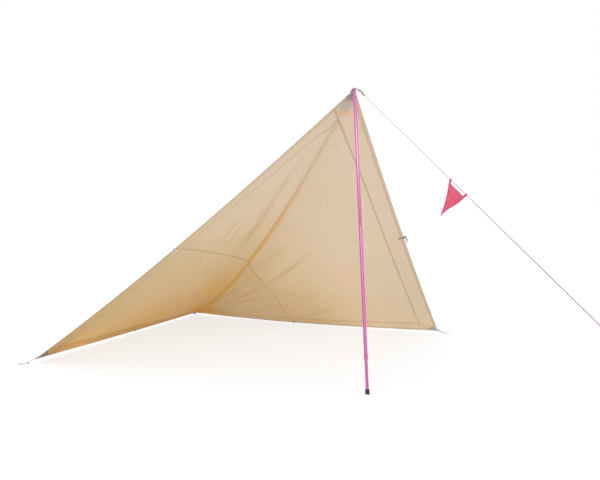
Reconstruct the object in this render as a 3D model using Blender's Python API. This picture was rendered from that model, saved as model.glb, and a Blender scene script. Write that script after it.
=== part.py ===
import bpy
import bmesh
from math import cos, floor, pi, radians, sin, sqrt
from mathutils import Matrix, Vector

# A square cotton tarp pitched as a lean-to: one corner up on a telescopic pole, three at the ground.
# Metres, +Z up. The origin is where the pole's axis meets the ground, and +Y runs to the back corner.

# Cloth, as it lies flat. p runs from the apex to the left corner, q from the apex to the right corner
edge_length = 3.00           # of the square
loom_width = 1.50            # width of the front length of cloth, where the cross seam lies
canopy_thickness = 0.0012
facing_thickness = 0.0010
tape_thickness = 0.0009
patch_thickness = 0.0010
hem_thickness = 0.0010
facing_width = 0.145         # doubled border along each edge
hem_width = 0.022
tape_width = 0.024
patch_cut = 0.235            # p + q where a corner patch's inner corner is cut off
apex_trim = 0.042            # p + q where the cloth stops short of the pole's eyelet
layer_gap = 0.0005
seam_gap = 0.0012
cells = 16                   # flat cells along an edge that the pitched surface is drawn through
cell = edge_length / cells

# Pitch: where the corners are held. The taut edges are a little longer than they are cut
peak_height = 1.840          # of the eyelet
peak_setback = 0.180         # how far the pole leans back
peak_shift = 0.010           # and to the right
apex = Vector((peak_shift, peak_setback, peak_height))
corner_spread = 1.790        # the left and right corners, from the middle
corner_height = 0.030        # of the cloth's corners above the ground
front_stretch = 1.0040
rear_stretch = 1.0007
corner_setback = peak_setback + sqrt((edge_length * front_stretch) ** 2 - corner_spread ** 2
                                     - (peak_height - corner_height) ** 2)
back_reach = corner_setback + sqrt((edge_length * rear_stretch) ** 2 - corner_spread ** 2)
left_corner = Vector((-corner_spread, corner_setback, corner_height))
right_corner = Vector((corner_spread, corner_setback, corner_height))
back_corner = Vector((0.000, back_reach, corner_height))

# How far the middle of each line of the pitched cloth lies from its straight chord
ridge_sag = 0.225
front_left_sag = 0.090
front_left_bow = 0.045       # towards -X, as the other bows
front_right_sag = 0.007
front_right_bow = 0.018
rear_left_sag = 0.006
rear_right_sag = 0.018
rear_right_bow = 0.100
rear_right_back = 0.030      # towards +Y
panel_belly = 0.028          # the left half swells up and the right half sinks
ridge_hang = Vector((0, 0, -ridge_sag))
front_left_hang = Vector((-front_left_bow, 0, -front_left_sag))
front_right_hang = Vector((-front_right_bow, 0, -front_right_sag))
rear_left_hang = Vector((0, 0, -rear_left_sag))
rear_right_hang = Vector((-rear_right_bow, rear_right_back, -rear_right_sag))

# Webbing
webbing_thickness = 0.0018
webbing_gap = 0.0008
apex_webbing_width = 0.0225
apex_webbing_hold = 0.130    # length sewn along the ridge
apex_webbing_lift = 0.034    # from the eyelet to where it leaves the cloth
apex_flat = 0.014            # half of the level stretch over the pole
corner_webbing_width = 0.018
corner_webbing_hold = 0.060
corner_webbing_reach = 0.056 # from the cloth's corner to the eye on the ground
corner_webbing_lead = 0.010  # how far it goes straight on past the cloth
eye_clearance = 0.0008
tab_width = 0.018
tab_hold = 0.040
tab_reach = 0.008
back_tab_reach = 0.006
right_tab_reach = 0.044
right_tab_bend = radians(70) # how far its loose end turns down
tab_lead = 0.006             # how far it goes straight on past the cloth
tab_bend_radius = 0.016

# Metal
eyelet_bore = 0.0110
eyelet_flange = 0.0180
eyelet_plate = 0.0010
eyelet_clearance = 0.0003
dee_wire = 0.0035
dee_width = 0.0280
dee_height = 0.0290
dee_corner = 0.0030

# Cords
guy_diameter = 0.0030
guy_foot_reach = 2.400       # along -Y, from the pole's foot to the peg
guy_foot_shift = 0.100
guy_ring_reach = 0.0753      # level, from the pole's eyelet to the ring's centre
guy_ring_drop = 0.0361
knot_diameter = 0.0076
knot_length = 0.0080
runner_start = 0.0305        # from the ring's centre along the line
runner_length = 0.0220
runner_diameter = 0.0090
runner_bore = 0.0044
end_knot_diameter = 0.0084
end_loop_length = 0.050
end_loop_width = 0.020
peg_cord_diameter = 0.0030
peg_loop_length = 0.070
peg_loop_spread = 0.005      # how far the loop stands out past the webbing at each end
cord_gap = 0.0004

# Pennant on the guy line
pennant_start = 1.0345       # from the ring's centre along the line
pennant_base = 0.134
pennant_height = 0.166
pennant_lean = 0.0255        # how far its point lies up the line from the middle of its base
pennant_drop = 0.0165        # from the line to its upper edge
pennant_thickness = 0.0010
pennant_tab_width = 0.0090
pennant_tab_thickness = 0.0008
pennant_tab_hold = 0.0140    # length beside the cloth, from its corner

# Pole, measured down its axis from the eyelet
pin_diameter = 0.0060
pin_height = 0.0080
pin_chamfer = 0.0015
shoulder_depth = 0.0040
plug_diameter = 0.0180
plug_cone_depth = 0.0068      # below the eyelet as far as the pole can tilt
plug_visible = 0.0620
spigot_length = 0.0400
tube_diameter = 0.0210
tube_wall = 0.0009
slide_clearance = 0.0004
lower_tube_wall = 0.0009
upper_tube_length = 0.790
ferrule_length = 0.120
collar_wall = 0.0009
collar_height = 0.030
lower_tube_showing = 0.205   # from the ground to the outer tube's mouth
lower_tube_length = 0.660
hole_pitch = 0.0535
first_hole = 0.056           # height of the lowest hole above the ground
hole_count = 9
hole_in_use = 3              # counted from the lowest, which is 0
hole_diameter = 0.0062
hole_heading = radians(-53)  # plan direction that the holes face, from +X
foot_diameter = 0.0270
foot_height = 0.0300
foot_floor = 0.0060
foot_rim = 0.0010
foot_offcut = 0.0040         # drawn below the ground, and cut off level
button_diameter = 0.0044
button_head = 0.0070
button_head_height = 0.0018
button_round = 0.0006
button_travel = 0.0026
round_steps = 24
through_length = 0.010       # of a cutter that goes right through
up = Vector((0, 0, 1))


def material(name, colour, roughness, metallic=0.0):
    shade = bpy.data.materials.new(name)
    shade.use_nodes = True
    surface = shade.node_tree.nodes["Principled BSDF"]
    surface.inputs["Base Color"].default_value = (*colour, 1.0)
    surface.inputs["Roughness"].default_value = roughness
    surface.inputs["Metallic"].default_value = metallic
    return shade


def add_object(name, data, shade, parent=None, origin=None):
    item = bpy.data.objects.new(name, data)
    bpy.context.scene.collection.objects.link(item)
    if shade is not None:
        data.materials.append(shade)
    if origin is not None:
        item.location = origin
    item.parent = parent
    return item


def add_empty(name, matrix):
    item = bpy.data.objects.new(name, None)
    bpy.context.scene.collection.objects.link(item)
    item.matrix_world = matrix
    return item


def mesh_from(bm, name, smooth_angle=None, turn_outward=True):
    if turn_outward:
        bmesh.ops.recalc_face_normals(bm, faces=bm.faces[:])
    mesh = bpy.data.meshes.new(name)
    bm.to_mesh(mesh)
    bm.free()
    if smooth_angle is not None:
        mesh.shade_smooth()
        mesh.set_sharp_from_angle(angle=smooth_angle)
    return mesh


# The pitched surface

def panel_point(u, v, left):
    """A point of the left or right half at fractions u and v of the edges from the apex."""
    far, near = (u, v) if left else (v, u)
    corner = left_corner if left else right_corner
    front_hang = front_left_hang if left else front_right_hang
    rear_hang = rear_left_hang if left else rear_right_hang
    belly = up * (panel_belly if left else -panel_belly)
    a, c, b = 1 - far, far - near, near
    straight = apex * a + corner * c + back_corner * b
    hung = a * b * ridge_hang + a * c * front_hang + c * b * rear_hang
    return straight + 4 * hung + 27 * a * b * c * belly


def panel_normal(u, v, left):
    step = 1e-4
    along_u = panel_point(u + step, v, left) - panel_point(u - step, v, left)
    along_v = panel_point(u, v + step, left) - panel_point(u, v - step, left)
    normal = along_u.cross(along_v).normalized()
    return normal if normal.z > 0 else -normal


def grid_corner(i, j):
    u, v = i / cells, j / cells
    if i == j:
        normal = (panel_normal(u, v, True) + panel_normal(u, v, False)).normalized()
    else:
        normal = panel_normal(u, v, i > j)
    return panel_point(u, v, i >= j), normal


pitched_grid = {(i, j): grid_corner(i, j) for i in range(cells + 1) for j in range(cells + 1)}


def place(p, q, height=0.0):
    """Where the flat cloth's point (p, q) is when pitched, height above its middle surface.

    The surface is drawn through triangles between grid corners, so layers that lie on each other
    stay parallel however they are cut. Points past an edge carry on in the nearest triangle.
    """
    i = min(max(floor(p / cell), 0), cells - 1)
    j = min(max(floor(q / cell), 0), cells - 1)
    a, b = p / cell - i, q / cell - j
    middle = (i + 1, j) if a >= b else (i, j + 1)
    weights = (((i, j), 1 - max(a, b)), (middle, abs(a - b)), ((i + 1, j + 1), min(a, b)))
    point = sum((pitched_grid[key][0] * weight for key, weight in weights), Vector())
    normal = sum((pitched_grid[key][1] * weight for key, weight in weights), Vector())
    return point + normal * height


def cloth_piece(name, limits, underside, thickness, shade):
    """A piece of cloth cut flat along straight lines, then pitched.

    Each limit (a, b, c) keeps the part where a * p + b * q is at least c.
    """
    bm = bmesh.new()
    bmesh.ops.create_grid(bm, x_segments=cells, y_segments=cells, size=edge_length / 2,
                          matrix=Matrix.Translation((edge_length / 2, edge_length / 2, 0)))
    for a, b, c in limits:
        normal = Vector((a, b, 0))
        on_line = normal * (c / normal.length_squared)
        bmesh.ops.bisect_plane(bm, geom=bm.verts[:] + bm.edges[:] + bm.faces[:], dist=1e-6,
                               plane_co=on_line, plane_no=normal, clear_inner=True)
    for k in range(1 - cells, cells):
        bmesh.ops.bisect_plane(bm, geom=bm.verts[:] + bm.edges[:] + bm.faces[:], dist=1e-6,
                               plane_co=(k * cell, 0, 0), plane_no=(1, -1, 0))
    grown = bmesh.ops.extrude_face_region(bm, geom=bm.faces[:])
    upper = [item for item in grown["geom"] if isinstance(item, bmesh.types.BMVert)]
    bmesh.ops.translate(bm, verts=upper, vec=(0, 0, thickness))
    bmesh.ops.recalc_face_normals(bm, faces=bm.faces[:])
    for vert in bm.verts:
        vert.co = place(vert.co.x, vert.co.y, underside + vert.co.z)
    # Left and right change places when the flat pattern is pitched, so its faces are turned over
    bmesh.ops.reverse_faces(bm, faces=bm.faces[:])
    return add_object(name, mesh_from(bm, name, turn_outward=False), shade)


# Heights of the layers under the canopy, each from its own underside
canopy_underside = -canopy_thickness / 2
facing_underside = canopy_underside - layer_gap - facing_thickness
tape_underside = canopy_underside - layer_gap - tape_thickness
patch_underside = facing_underside - layer_gap - patch_thickness
hem_underside = facing_underside - layer_gap - hem_thickness
fold_cut = seam_gap / sqrt(2)


def make_panels(cotton):
    low_seam = loom_width - seam_gap / 2
    high_seam = loom_width + seam_gap / 2
    left_half, right_half = (1, -1, fold_cut), (-1, 1, fold_cut)
    front, rear = (-1, 0, -low_seam), (1, 0, high_seam)
    trim = (1, 1, apex_trim)
    cuts = {
        "panel_front_left": (left_half, front, trim),
        "panel_front_right": (right_half, front, trim),
        "panel_rear_left": (left_half, rear),
        "panel_rear_right": (right_half, rear),
    }
    for name, limits in cuts.items():
        cloth_piece(name, limits, canopy_underside, canopy_thickness, cotton)


def make_facings(cotton):
    mitre_low, mitre_high = (-1, -1, fold_cut - edge_length), (1, 1, edge_length + fold_cut)
    left_half, right_half = (1, -1, fold_cut), (-1, 1, fold_cut)
    trim = (1, 1, apex_trim)
    inner = edge_length - facing_width
    cuts = {
        "facing_front_left": ((0, -1, -facing_width), left_half, mitre_low, trim),
        "facing_front_right": ((-1, 0, -facing_width), right_half, mitre_low, trim),
        "facing_rear_left": ((1, 0, inner), left_half, mitre_high),
        "facing_rear_right": ((0, 1, inner), right_half, mitre_high),
    }
    for name, limits in cuts.items():
        cloth_piece(name, limits, facing_underside, facing_thickness, cotton)


def make_hems(cotton):
    start = facing_width + seam_gap
    end = edge_length - start
    outer = edge_length - hem_width
    cuts = {
        "hem_front_left": ((0, -1, -hem_width), (1, 0, start), (-1, 0, -end)),
        "hem_front_right": ((-1, 0, -hem_width), (0, 1, start), (0, -1, -end)),
        "hem_rear_left": ((1, 0, outer), (0, 1, start), (0, -1, -end)),
        "hem_rear_right": ((0, 1, outer), (1, 0, start), (-1, 0, -end)),
    }
    for name, limits in cuts.items():
        cloth_piece(name, limits, hem_underside, hem_thickness, cotton)


def make_tapes(cotton):
    start = facing_width + seam_gap
    end = edge_length - start
    half_ridge = tape_width / sqrt(2)
    ridge_limits = ((1, -1, -half_ridge), (-1, 1, -half_ridge),
                    (1, 0, start), (0, 1, start), (-1, 0, -end), (0, -1, -end))
    cross_limits = ((1, 0, loom_width - tape_width / 2), (-1, 0, -loom_width - tape_width / 2))
    beside = half_ridge + seam_gap
    cuts = {
        "ridge_tape": ridge_limits,
        "cross_tape_left": (*cross_limits, (1, -1, beside), (0, 1, start)),
        "cross_tape_right": (*cross_limits, (-1, 1, beside), (0, -1, -end)),
    }
    for name, limits in cuts.items():
        cloth_piece(name, limits, tape_underside, tape_thickness, cotton)


def make_patches(canvas):
    edge = facing_width
    far = edge_length - edge
    cuts = {
        "patch_apex": ((-1, 0, -edge), (0, -1, -edge), (-1, -1, -patch_cut), (1, 1, apex_trim)),
        "patch_left": ((1, 0, far), (0, -1, -edge), (1, -1, edge_length - patch_cut)),
        "patch_right": ((-1, 0, -edge), (0, 1, far), (-1, 1, edge_length - patch_cut)),
        "patch_back": ((1, 0, far), (0, 1, far), (1, 1, 2 * edge_length - patch_cut)),
    }
    for name, limits in cuts.items():
        cloth_piece(name, limits, patch_underside, patch_thickness, canvas)


# Webbing

def band(name, path, across, width, thickness, shade):
    """A flat band along a path. Its width lies along across: one direction, or one for each point."""
    bm = bmesh.new()
    rows = []
    acrosses = across if isinstance(across, list) else [across] * len(path)
    for k, (point, across) in enumerate(zip(path, acrosses)):
        before = (point - path[k - 1]).normalized() if k > 0 else None
        after = (path[k + 1] - point).normalized() if k < len(path) - 1 else None
        tangent = ((before or after) + (after or before)).normalized()
        stretch = 1 / max(tangent.dot(before or after), 0.5)
        normal = across.cross(tangent).normalized() * (thickness / 2 * stretch)
        half = across * (width / 2)
        corners = (normal - half, normal + half, half - normal, -normal - half)
        rows.append([bm.verts.new(point + corner) for corner in corners])
    for first, second in zip(rows, rows[1:]):
        for k in range(4):
            m = (k + 1) % 4
            bm.faces.new((first[k], first[m], second[m], second[k]))
    bm.faces.new(rows[0])
    bm.faces.new(reversed(rows[-1]))
    return add_object(name, mesh_from(bm, name, radians(40)), shade)


def arc(centre, first, second, start, end, radius, steps):
    """Points round a centre in the plane of two directions, from one angle to another."""
    angles = [start + (end - start) * k / steps for k in range(steps + 1)]
    return [centre + (first * cos(angle) + second * sin(angle)) * radius for angle in angles]


corner_eye_radius = peg_cord_diameter / 2 + eye_clearance + webbing_thickness / 2
corner_eye_outer = corner_eye_radius + webbing_thickness / 2
outer_face = canopy_thickness / 2 + layer_gap + webbing_thickness / 2


def corner_directions(corner):
    """A ground corner's flat place, the flat way out of the cloth, and the level ways out and across."""
    flat_places = {"left": (edge_length, 0), "right": (0, edge_length), "back": (edge_length, edge_length)}
    tip = Vector(flat_places[corner])
    flat_out = (tip - Vector((edge_length, edge_length)) / 2).normalized()
    outward = place(*tip) - place(*(tip - flat_out * cell))
    outward.z = 0
    outward.normalize()
    return tip, flat_out, outward, up.cross(outward)


def make_corner_strap(corner, webbing):
    """A webbing strap sewn on the cloth's outer face, led down to an eye that rests on the ground."""
    tip, flat_out, outward, across = corner_directions(corner)
    cloth_across = across
    if corner != "back":
        # Off the ridge the strap lies in the cloth's own plane, which slopes across the corner too
        flat_across = Vector((-flat_out.y, flat_out.x)) * facing_width
        cloth_across = (place(*(tip + flat_across)) - place(*(tip - flat_across))).normalized()
        cloth_across *= 1 if cloth_across.dot(across) > 0 else -1
    reaches = (corner_webbing_hold, corner_webbing_hold / 2, 0, -corner_webbing_lead)
    held = [tip - flat_out * reach for reach in reaches]
    path = [place(point.x, point.y, outer_face) for point in held]
    acrosses = [cloth_across] * len(path)
    eye = corner_eye(corner)
    curl = arc(eye, outward, up, radians(110), radians(-185), corner_eye_radius, 12)
    lead = path[-1]
    for share in (0.3, 0.6, 0.85):
        path.append(lead.lerp(curl[0], share))
        acrosses.append(cloth_across.lerp(across, share).normalized())
    path += curl
    acrosses += [across] * len(curl)
    band("strap_" + corner, path, acrosses, corner_webbing_width, webbing_thickness, webbing)


def corner_eye(corner):
    tip, flat_out, outward, across = corner_directions(corner)
    cloth_tip = place(tip.x, tip.y)
    return Vector((cloth_tip.x, cloth_tip.y, corner_eye_outer)) + outward * corner_webbing_reach


def make_peg_loop(corner, cord_shade):
    """A cord loop through a corner strap's eye, pulled to a point and lying on the ground."""
    tip, flat_out, outward, across = corner_directions(corner)
    eye = corner_eye(corner)
    half = corner_webbing_width / 2 + peg_loop_spread
    # How far out and how wide, as shares of the loop's length and half its width
    shape = [(0.00, 0.72), (0.07, 1.00), (0.17, 0.98), (0.45, 0.62), (0.80, 0.36), (0.95, 0.26),
             (1.00, 0.10)]
    shape += [(reach, -spread) for reach, spread in reversed(shape)]
    loop = [eye + outward * (peg_loop_length * reach) + across * (half * spread) for reach, spread in shape]
    for point, (reach, spread) in zip(loop, shape):
        settled = min(2 * reach, 1)
        point.z = eye.z + (peg_cord_diameter / 2 - eye.z) * settled
    tube("peg_loop_" + corner, smooth_ring(loop, 2), peg_cord_diameter, cord_shade, closed=True)


def smooth_ring(points, steps):
    """A closed smooth curve through the points, read at steps points between each pair."""
    count = len(points)
    curve = []
    for k in range(count):
        a, b, c, d = (points[(k + shift) % count] for shift in (-1, 0, 1, 2))
        for step in range(steps):
            t = step / steps
            curve.append(0.5 * (2 * b + (c - a) * t + (2 * a - 5 * b + 4 * c - d) * t ** 2
                                + (3 * b - a - 3 * c + d) * t ** 3))
    return curve


def tube(name, points, diameter, shade, closed=False, origin=Vector()):
    curve = bpy.data.curves.new(name, "CURVE")
    curve.dimensions = "3D"
    curve.bevel_depth = diameter / 2
    curve.bevel_resolution = 2
    curve.use_fill_caps = not closed
    spline = curve.splines.new("POLY")
    spline.points.add(len(points) - 1)
    for slot, point in zip(spline.points, points):
        slot.co = (*(point - origin), 1.0)
    spline.use_cyclic_u = closed
    return add_object(name, curve, shade, origin=origin)


stack_underside = hem_underside - webbing_gap - webbing_thickness / 2
stack_topside = canopy_thickness / 2 + webbing_gap + webbing_thickness / 2
tab_middle = (stack_topside + stack_underside) / 2
tab_radius = (stack_topside - stack_underside) / 2


def edge_point(edge, along, out, height):
    """A point by the named edge: along it from its start, out past it, and above the cloth."""
    flat = {
        "left": (along, -out),
        "right": (-out, along),
        "rear_left": (edge_length + out, along),
        "rear_right": (along, edge_length + out),
    }
    return place(*flat[edge], height)


def tab_line(reach, bend):
    """Places and headings of a tab's middle line in the plane of (out, height), turning down by bend."""
    places = [(Vector((-tab_hold, tab_middle)), 0.0)]
    if bend == 0:
        return places + [(Vector((reach, tab_middle)), 0.0)]
    steps = 6
    for k in range(steps + 1):
        heading = bend * k / steps
        turned_by = Vector((sin(heading), cos(heading) - 1)) * tab_bend_radius
        places.append((Vector((tab_lead, tab_middle)) + turned_by, heading))
    left_over = reach - tab_lead - tab_bend_radius * bend
    return places + [(places[-1][0] + Vector((cos(bend), -sin(bend))) * left_over, bend)]


def make_tab(edge, along, reach, bend, webbing):
    """Webbing folded over an edge, with its fold standing out as a loop, and the loop's middle and axis."""
    line = tab_line(reach, bend)
    sides = [Vector((sin(heading), cos(heading))) * tab_radius for middle, heading in line]
    points = [middle + side for (middle, heading), side in zip(line, sides)]
    end, heading = line[-1]
    ahead = Vector((cos(heading), -sin(heading))) * tab_radius
    turns = 8
    for k in range(1, turns):
        angle = pi * k / turns
        points.append(end + sides[-1] * cos(angle) + ahead * sin(angle))
    points += [middle - side for (middle, heading), side in zip(reversed(line), reversed(sides))]
    path = [edge_point(edge, along, out, height) for out, height in points]
    half = tab_width / 2
    axis = (edge_point(edge, along + half, 0, 0) - edge_point(edge, along - half, 0, 0)).normalized()
    band("tab_" + edge, path, axis, tab_width, webbing_thickness, webbing)
    return edge_point(edge, along, *end), axis


def make_dee(name, centre, axis, bow_way, steel):
    """A dee ring with its straight bar through centre along axis and its bow towards bow_way."""
    half = dee_width / 2
    straight = half - dee_corner
    points = [centre + axis * straight, centre - axis * straight]
    points += arc(centre - axis * straight + bow_way * dee_corner, -axis, bow_way,
                  radians(-60), 0, dee_corner, 2)
    points += arc(centre + bow_way * (dee_height - half), -axis, bow_way, 0, pi, half, 10)
    points += arc(centre + axis * straight + bow_way * dee_corner, -axis, bow_way,
                  pi, radians(240), dee_corner, 2)
    tube(name, points, dee_wire, steel, closed=True, origin=centre)


def make_hanging_dee(edge, centre, axis, steel):
    down = Vector((0, 0, -1))
    down = (down - axis * down.dot(axis)).normalized()
    make_dee("dee_" + edge, centre, axis, down, steel)


def turned(name, profile, shade, matrix, closed=False, parent=None, steps=round_steps, cut=None):
    """A piece turned about its own Z axis from (radius, height) points."""
    bm = bmesh.new()
    verts = [bm.verts.new((radius, 0, height)) for radius, height in profile]
    edges = [bm.edges.new(pair) for pair in zip(verts, verts[1:])]
    if closed:
        edges.append(bm.edges.new((verts[-1], verts[0])))
    bmesh.ops.spin(bm, geom=verts + edges, cent=(0, 0, 0), axis=(0, 0, 1), angle=2 * pi,
                   steps=steps, use_merge=True)
    bmesh.ops.remove_doubles(bm, verts=bm.verts[:], dist=1e-6)
    if cut is not None:
        point, normal = cut
        bmesh.ops.bisect_plane(bm, geom=bm.verts[:] + bm.edges[:] + bm.faces[:], dist=1e-7,
                               plane_co=point, plane_no=normal, clear_inner=True)
        bmesh.ops.holes_fill(bm, edges=[edge for edge in bm.edges if edge.is_boundary])
    item = add_object(name, mesh_from(bm, name, radians(35)), shade, parent=parent)
    item.matrix_local = matrix
    return item


def cutter(name, centre, direction, radius, length, parent=None, extra=()):
    """Round bars that cut holes: one at the centre and one at each extra offset."""
    bm = bmesh.new()
    turn = Vector((0, 0, 1)).rotation_difference(direction).to_matrix().to_4x4()
    for offset in (Vector(), *extra):
        bmesh.ops.create_cone(bm, cap_ends=True, segments=12, radius1=radius, radius2=radius,
                              depth=length, matrix=Matrix.Translation(centre + offset) @ turn)
    item = add_object(name, mesh_from(bm, name), None, parent=parent)
    item.hide_render = True
    item.display_type = "WIRE"
    return item


def cut_with(item, tool):
    cut = item.modifiers.new("holes", "BOOLEAN")
    cut.operation = "DIFFERENCE"
    cut.solver = "EXACT"
    cut.object = tool


# Apex: webbing over the pole, its eyelet, and the ring that takes the guy line

guy_foot = Vector((guy_foot_shift, -guy_foot_reach, 0))
guy_level = Vector((guy_foot.x - apex.x, guy_foot.y - apex.y, 0)).normalized()
guy_ring_place = apex + guy_level * guy_ring_reach - up * guy_ring_drop
guy_direction = (guy_foot + up * (end_knot_diameter / 2) - guy_ring_place).normalized()
level_across = Vector((1, 0, 0))


def along_guy(distance):
    return guy_ring_place + guy_direction * distance


def make_apex(webbing, steel):
    held = [place(reach / sqrt(2), reach / sqrt(2), outer_face)
            for reach in (apex_webbing_hold, apex_webbing_hold / 2, apex_webbing_lift)]
    flat = [apex + Vector((0, apex_flat, 0)), apex - Vector((0, apex_flat, 0))]
    eye = along_guy(-dee_height / 2)
    eye_radius = dee_wire / 2 + eye_clearance + webbing_thickness / 2
    lift = level_across.cross(guy_direction).normalized()
    if lift.z < 0:
        lift = -lift
    curl = arc(eye, guy_direction, lift, radians(100), radians(-190), eye_radius, 12)
    middle = [apex.lerp(flat[0], 0.5), apex, apex.lerp(flat[1], 0.5)]
    strap = band("strap_apex", held + flat[:1] + middle + flat[1:] + curl, level_across,
                 apex_webbing_width, webbing_thickness, webbing)
    hole_radius = eyelet_bore / 2 + eyelet_plate + eyelet_clearance
    hole = cutter("apex_hole", apex, up, hole_radius, through_length)
    cut_with(strap, hole)
    bore, neck, flange = eyelet_bore / 2, eyelet_bore / 2 + eyelet_plate, eyelet_flange / 2
    face = webbing_thickness / 2 + eyelet_clearance
    back = face + eyelet_plate
    profile = [(bore, -back), (flange, -back), (flange, -face), (neck, -face), (neck, face),
               (flange, face), (flange, back), (bore, back)]
    turned("apex_eyelet", profile, steel, Matrix.Translation(apex), closed=True)
    make_dee("guy_ring", eye, level_across, guy_direction, steel)


def make_guy(cord_shade, runner_shade):
    lift = level_across.cross(guy_direction).normalized()
    wrap = dee_wire / 2 + cord_gap + guy_diameter / 2
    bow_end = dee_height / 2
    knot_start = bow_end + wrap + guy_diameter / 2 + cord_gap
    bight = arc(along_guy(bow_end), guy_direction, lift, 0, 2 * pi * 15 / 16, wrap, 15)
    tube("guy_bight", bight, guy_diameter, cord_shade, closed=True)
    frame = Vector((0, 0, 1)).rotation_difference(guy_direction).to_matrix().to_4x4()
    radius, half = knot_diameter / 2, knot_length / 2
    barrel = [(0, -half), (0.6 * radius, -half), (0.92 * radius, -0.55 * half), (radius, 0),
              (0.92 * radius, 0.55 * half), (0.6 * radius, half), (0, half)]
    knot_place = Matrix.Translation(along_guy(knot_start + half)) @ frame
    turned("guy_knot", barrel, runner_shade, knot_place, steps=12)
    line_start = knot_start + knot_length + cord_gap
    foot = guy_foot + up * (end_knot_diameter / 2)
    line_end = (foot - guy_ring_place).length - end_knot_diameter / 2 - cord_gap
    points = [along_guy(line_start + (line_end - line_start) * k / 12) for k in range(13)]
    tube("guy_line", points, guy_diameter, cord_shade)
    bore, outer, end = runner_bore / 2, runner_diameter / 2, runner_length / 2
    body = [(bore, -end), (0.8 * outer, -end), (outer, -0.7 * end), (0.86 * outer, 0),
            (outer, 0.7 * end), (0.8 * outer, end), (bore, end)]
    turned("line_runner", body, runner_shade, Matrix.Translation(along_guy(runner_start + end)) @ frame,
           closed=True, steps=16)
    ball = end_knot_diameter / 2
    rounds = [(ball * sin(pi * k / 8), -ball * cos(pi * k / 8)) for k in range(9)]
    rounds[0], rounds[-1] = (0, -ball), (0, ball)
    turned("guy_end_knot", rounds, runner_shade, Matrix.Translation(foot), steps=12)
    level = Vector((guy_direction.x, guy_direction.y, 0)).normalized()
    across = Vector((-level.y, level.x, 0))
    rest = guy_foot + up * (guy_diameter / 2)
    near = rest + level * (ball + cord_gap + guy_diameter / 2)
    shape = ((0.00, 0.00), (0.06, 0.45), (0.35, 0.95), (0.70, 1.00), (0.93, 0.60), (1.00, 0.00))
    loop = [near + level * (end_loop_length * reach) + across * (end_loop_width / 2 * spread)
            for reach, spread in shape]
    loop += [near + level * (end_loop_length * reach) - across * (end_loop_width / 2 * spread)
             for reach, spread in reversed(shape[1:-1])]
    tube("guy_end_loop", smooth_ring(loop, 3), guy_diameter, cord_shade, closed=True)


def make_pennant(cloth):
    """A cloth triangle that hangs under the guy line from a tape round the line at each upper corner."""
    hang = Vector((0, 0, -1))
    hang = (hang - guy_direction * hang.dot(guy_direction)).normalized()
    face = guy_direction.cross(hang).normalized()
    origin = along_guy(pennant_start)
    upper = origin + hang * pennant_drop
    middle = upper + guy_direction * (pennant_base / 2)
    point = middle + hang * pennant_height - guy_direction * pennant_lean
    lower = upper + guy_direction * pennant_base
    bm = bmesh.new()
    behind = face * (pennant_thickness / 2)
    flat = bm.faces.new([bm.verts.new(corner - behind - origin) for corner in (upper, lower, point)])
    grown = bmesh.ops.extrude_face_region(bm, geom=[flat])
    moved = [item for item in grown["geom"] if isinstance(item, bmesh.types.BMVert)]
    bmesh.ops.translate(bm, verts=moved, vec=face * pennant_thickness)
    add_object("pennant", mesh_from(bm, "pennant"), cloth, origin=origin)
    make_pennant_tab("upper", upper, (upper - point).normalized(), guy_direction, face, cloth)
    make_pennant_tab("lower", lower, (lower - point).normalized(), -guy_direction, face, cloth)


def make_pennant_tab(name, corner, side, inward, face, cloth):
    """A tape in line with one side of the pennant, up one face, round the guy line and down the other."""
    slope = abs(side.dot(guy_direction))
    rise = sqrt(1 - slope ** 2)
    start = corner + inward * (pennant_tab_width / 2 / rise)
    on_line = start + side * (pennant_drop / rise)
    slack = pennant_tab_width / 2 * slope / rise  # the line crosses the tape at a slant
    wrap = guy_diameter / 2 / rise + cord_gap + pennant_tab_thickness / 2
    beside = pennant_thickness / 2 + cord_gap + pennant_tab_thickness / 2
    stations = [(start - side * pennant_tab_hold, beside), (start, beside),
                (on_line - side * (slack + wrap), wrap)]
    path = [station + face * out for station, out in stations]
    path += arc(on_line + side * slack, face, side, 0, pi, wrap, 8)
    path += [station - face * out for station, out in reversed(stations)]
    band("pennant_loop_" + name, path, face.cross(side), pennant_tab_width, pennant_tab_thickness, cloth)


# Pole: everything is drawn in its own frame, Z up the axis from the eyelet and X facing the holes

pole_length = apex.length


def pole_frame():
    axis = apex.normalized()
    facing = Vector((cos(hole_heading), sin(hole_heading), 0))
    facing = (facing - axis * facing.dot(axis)).normalized()
    turn = Matrix((facing, axis.cross(facing), axis)).transposed().to_4x4()
    return Matrix.Translation(apex) @ turn


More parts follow.
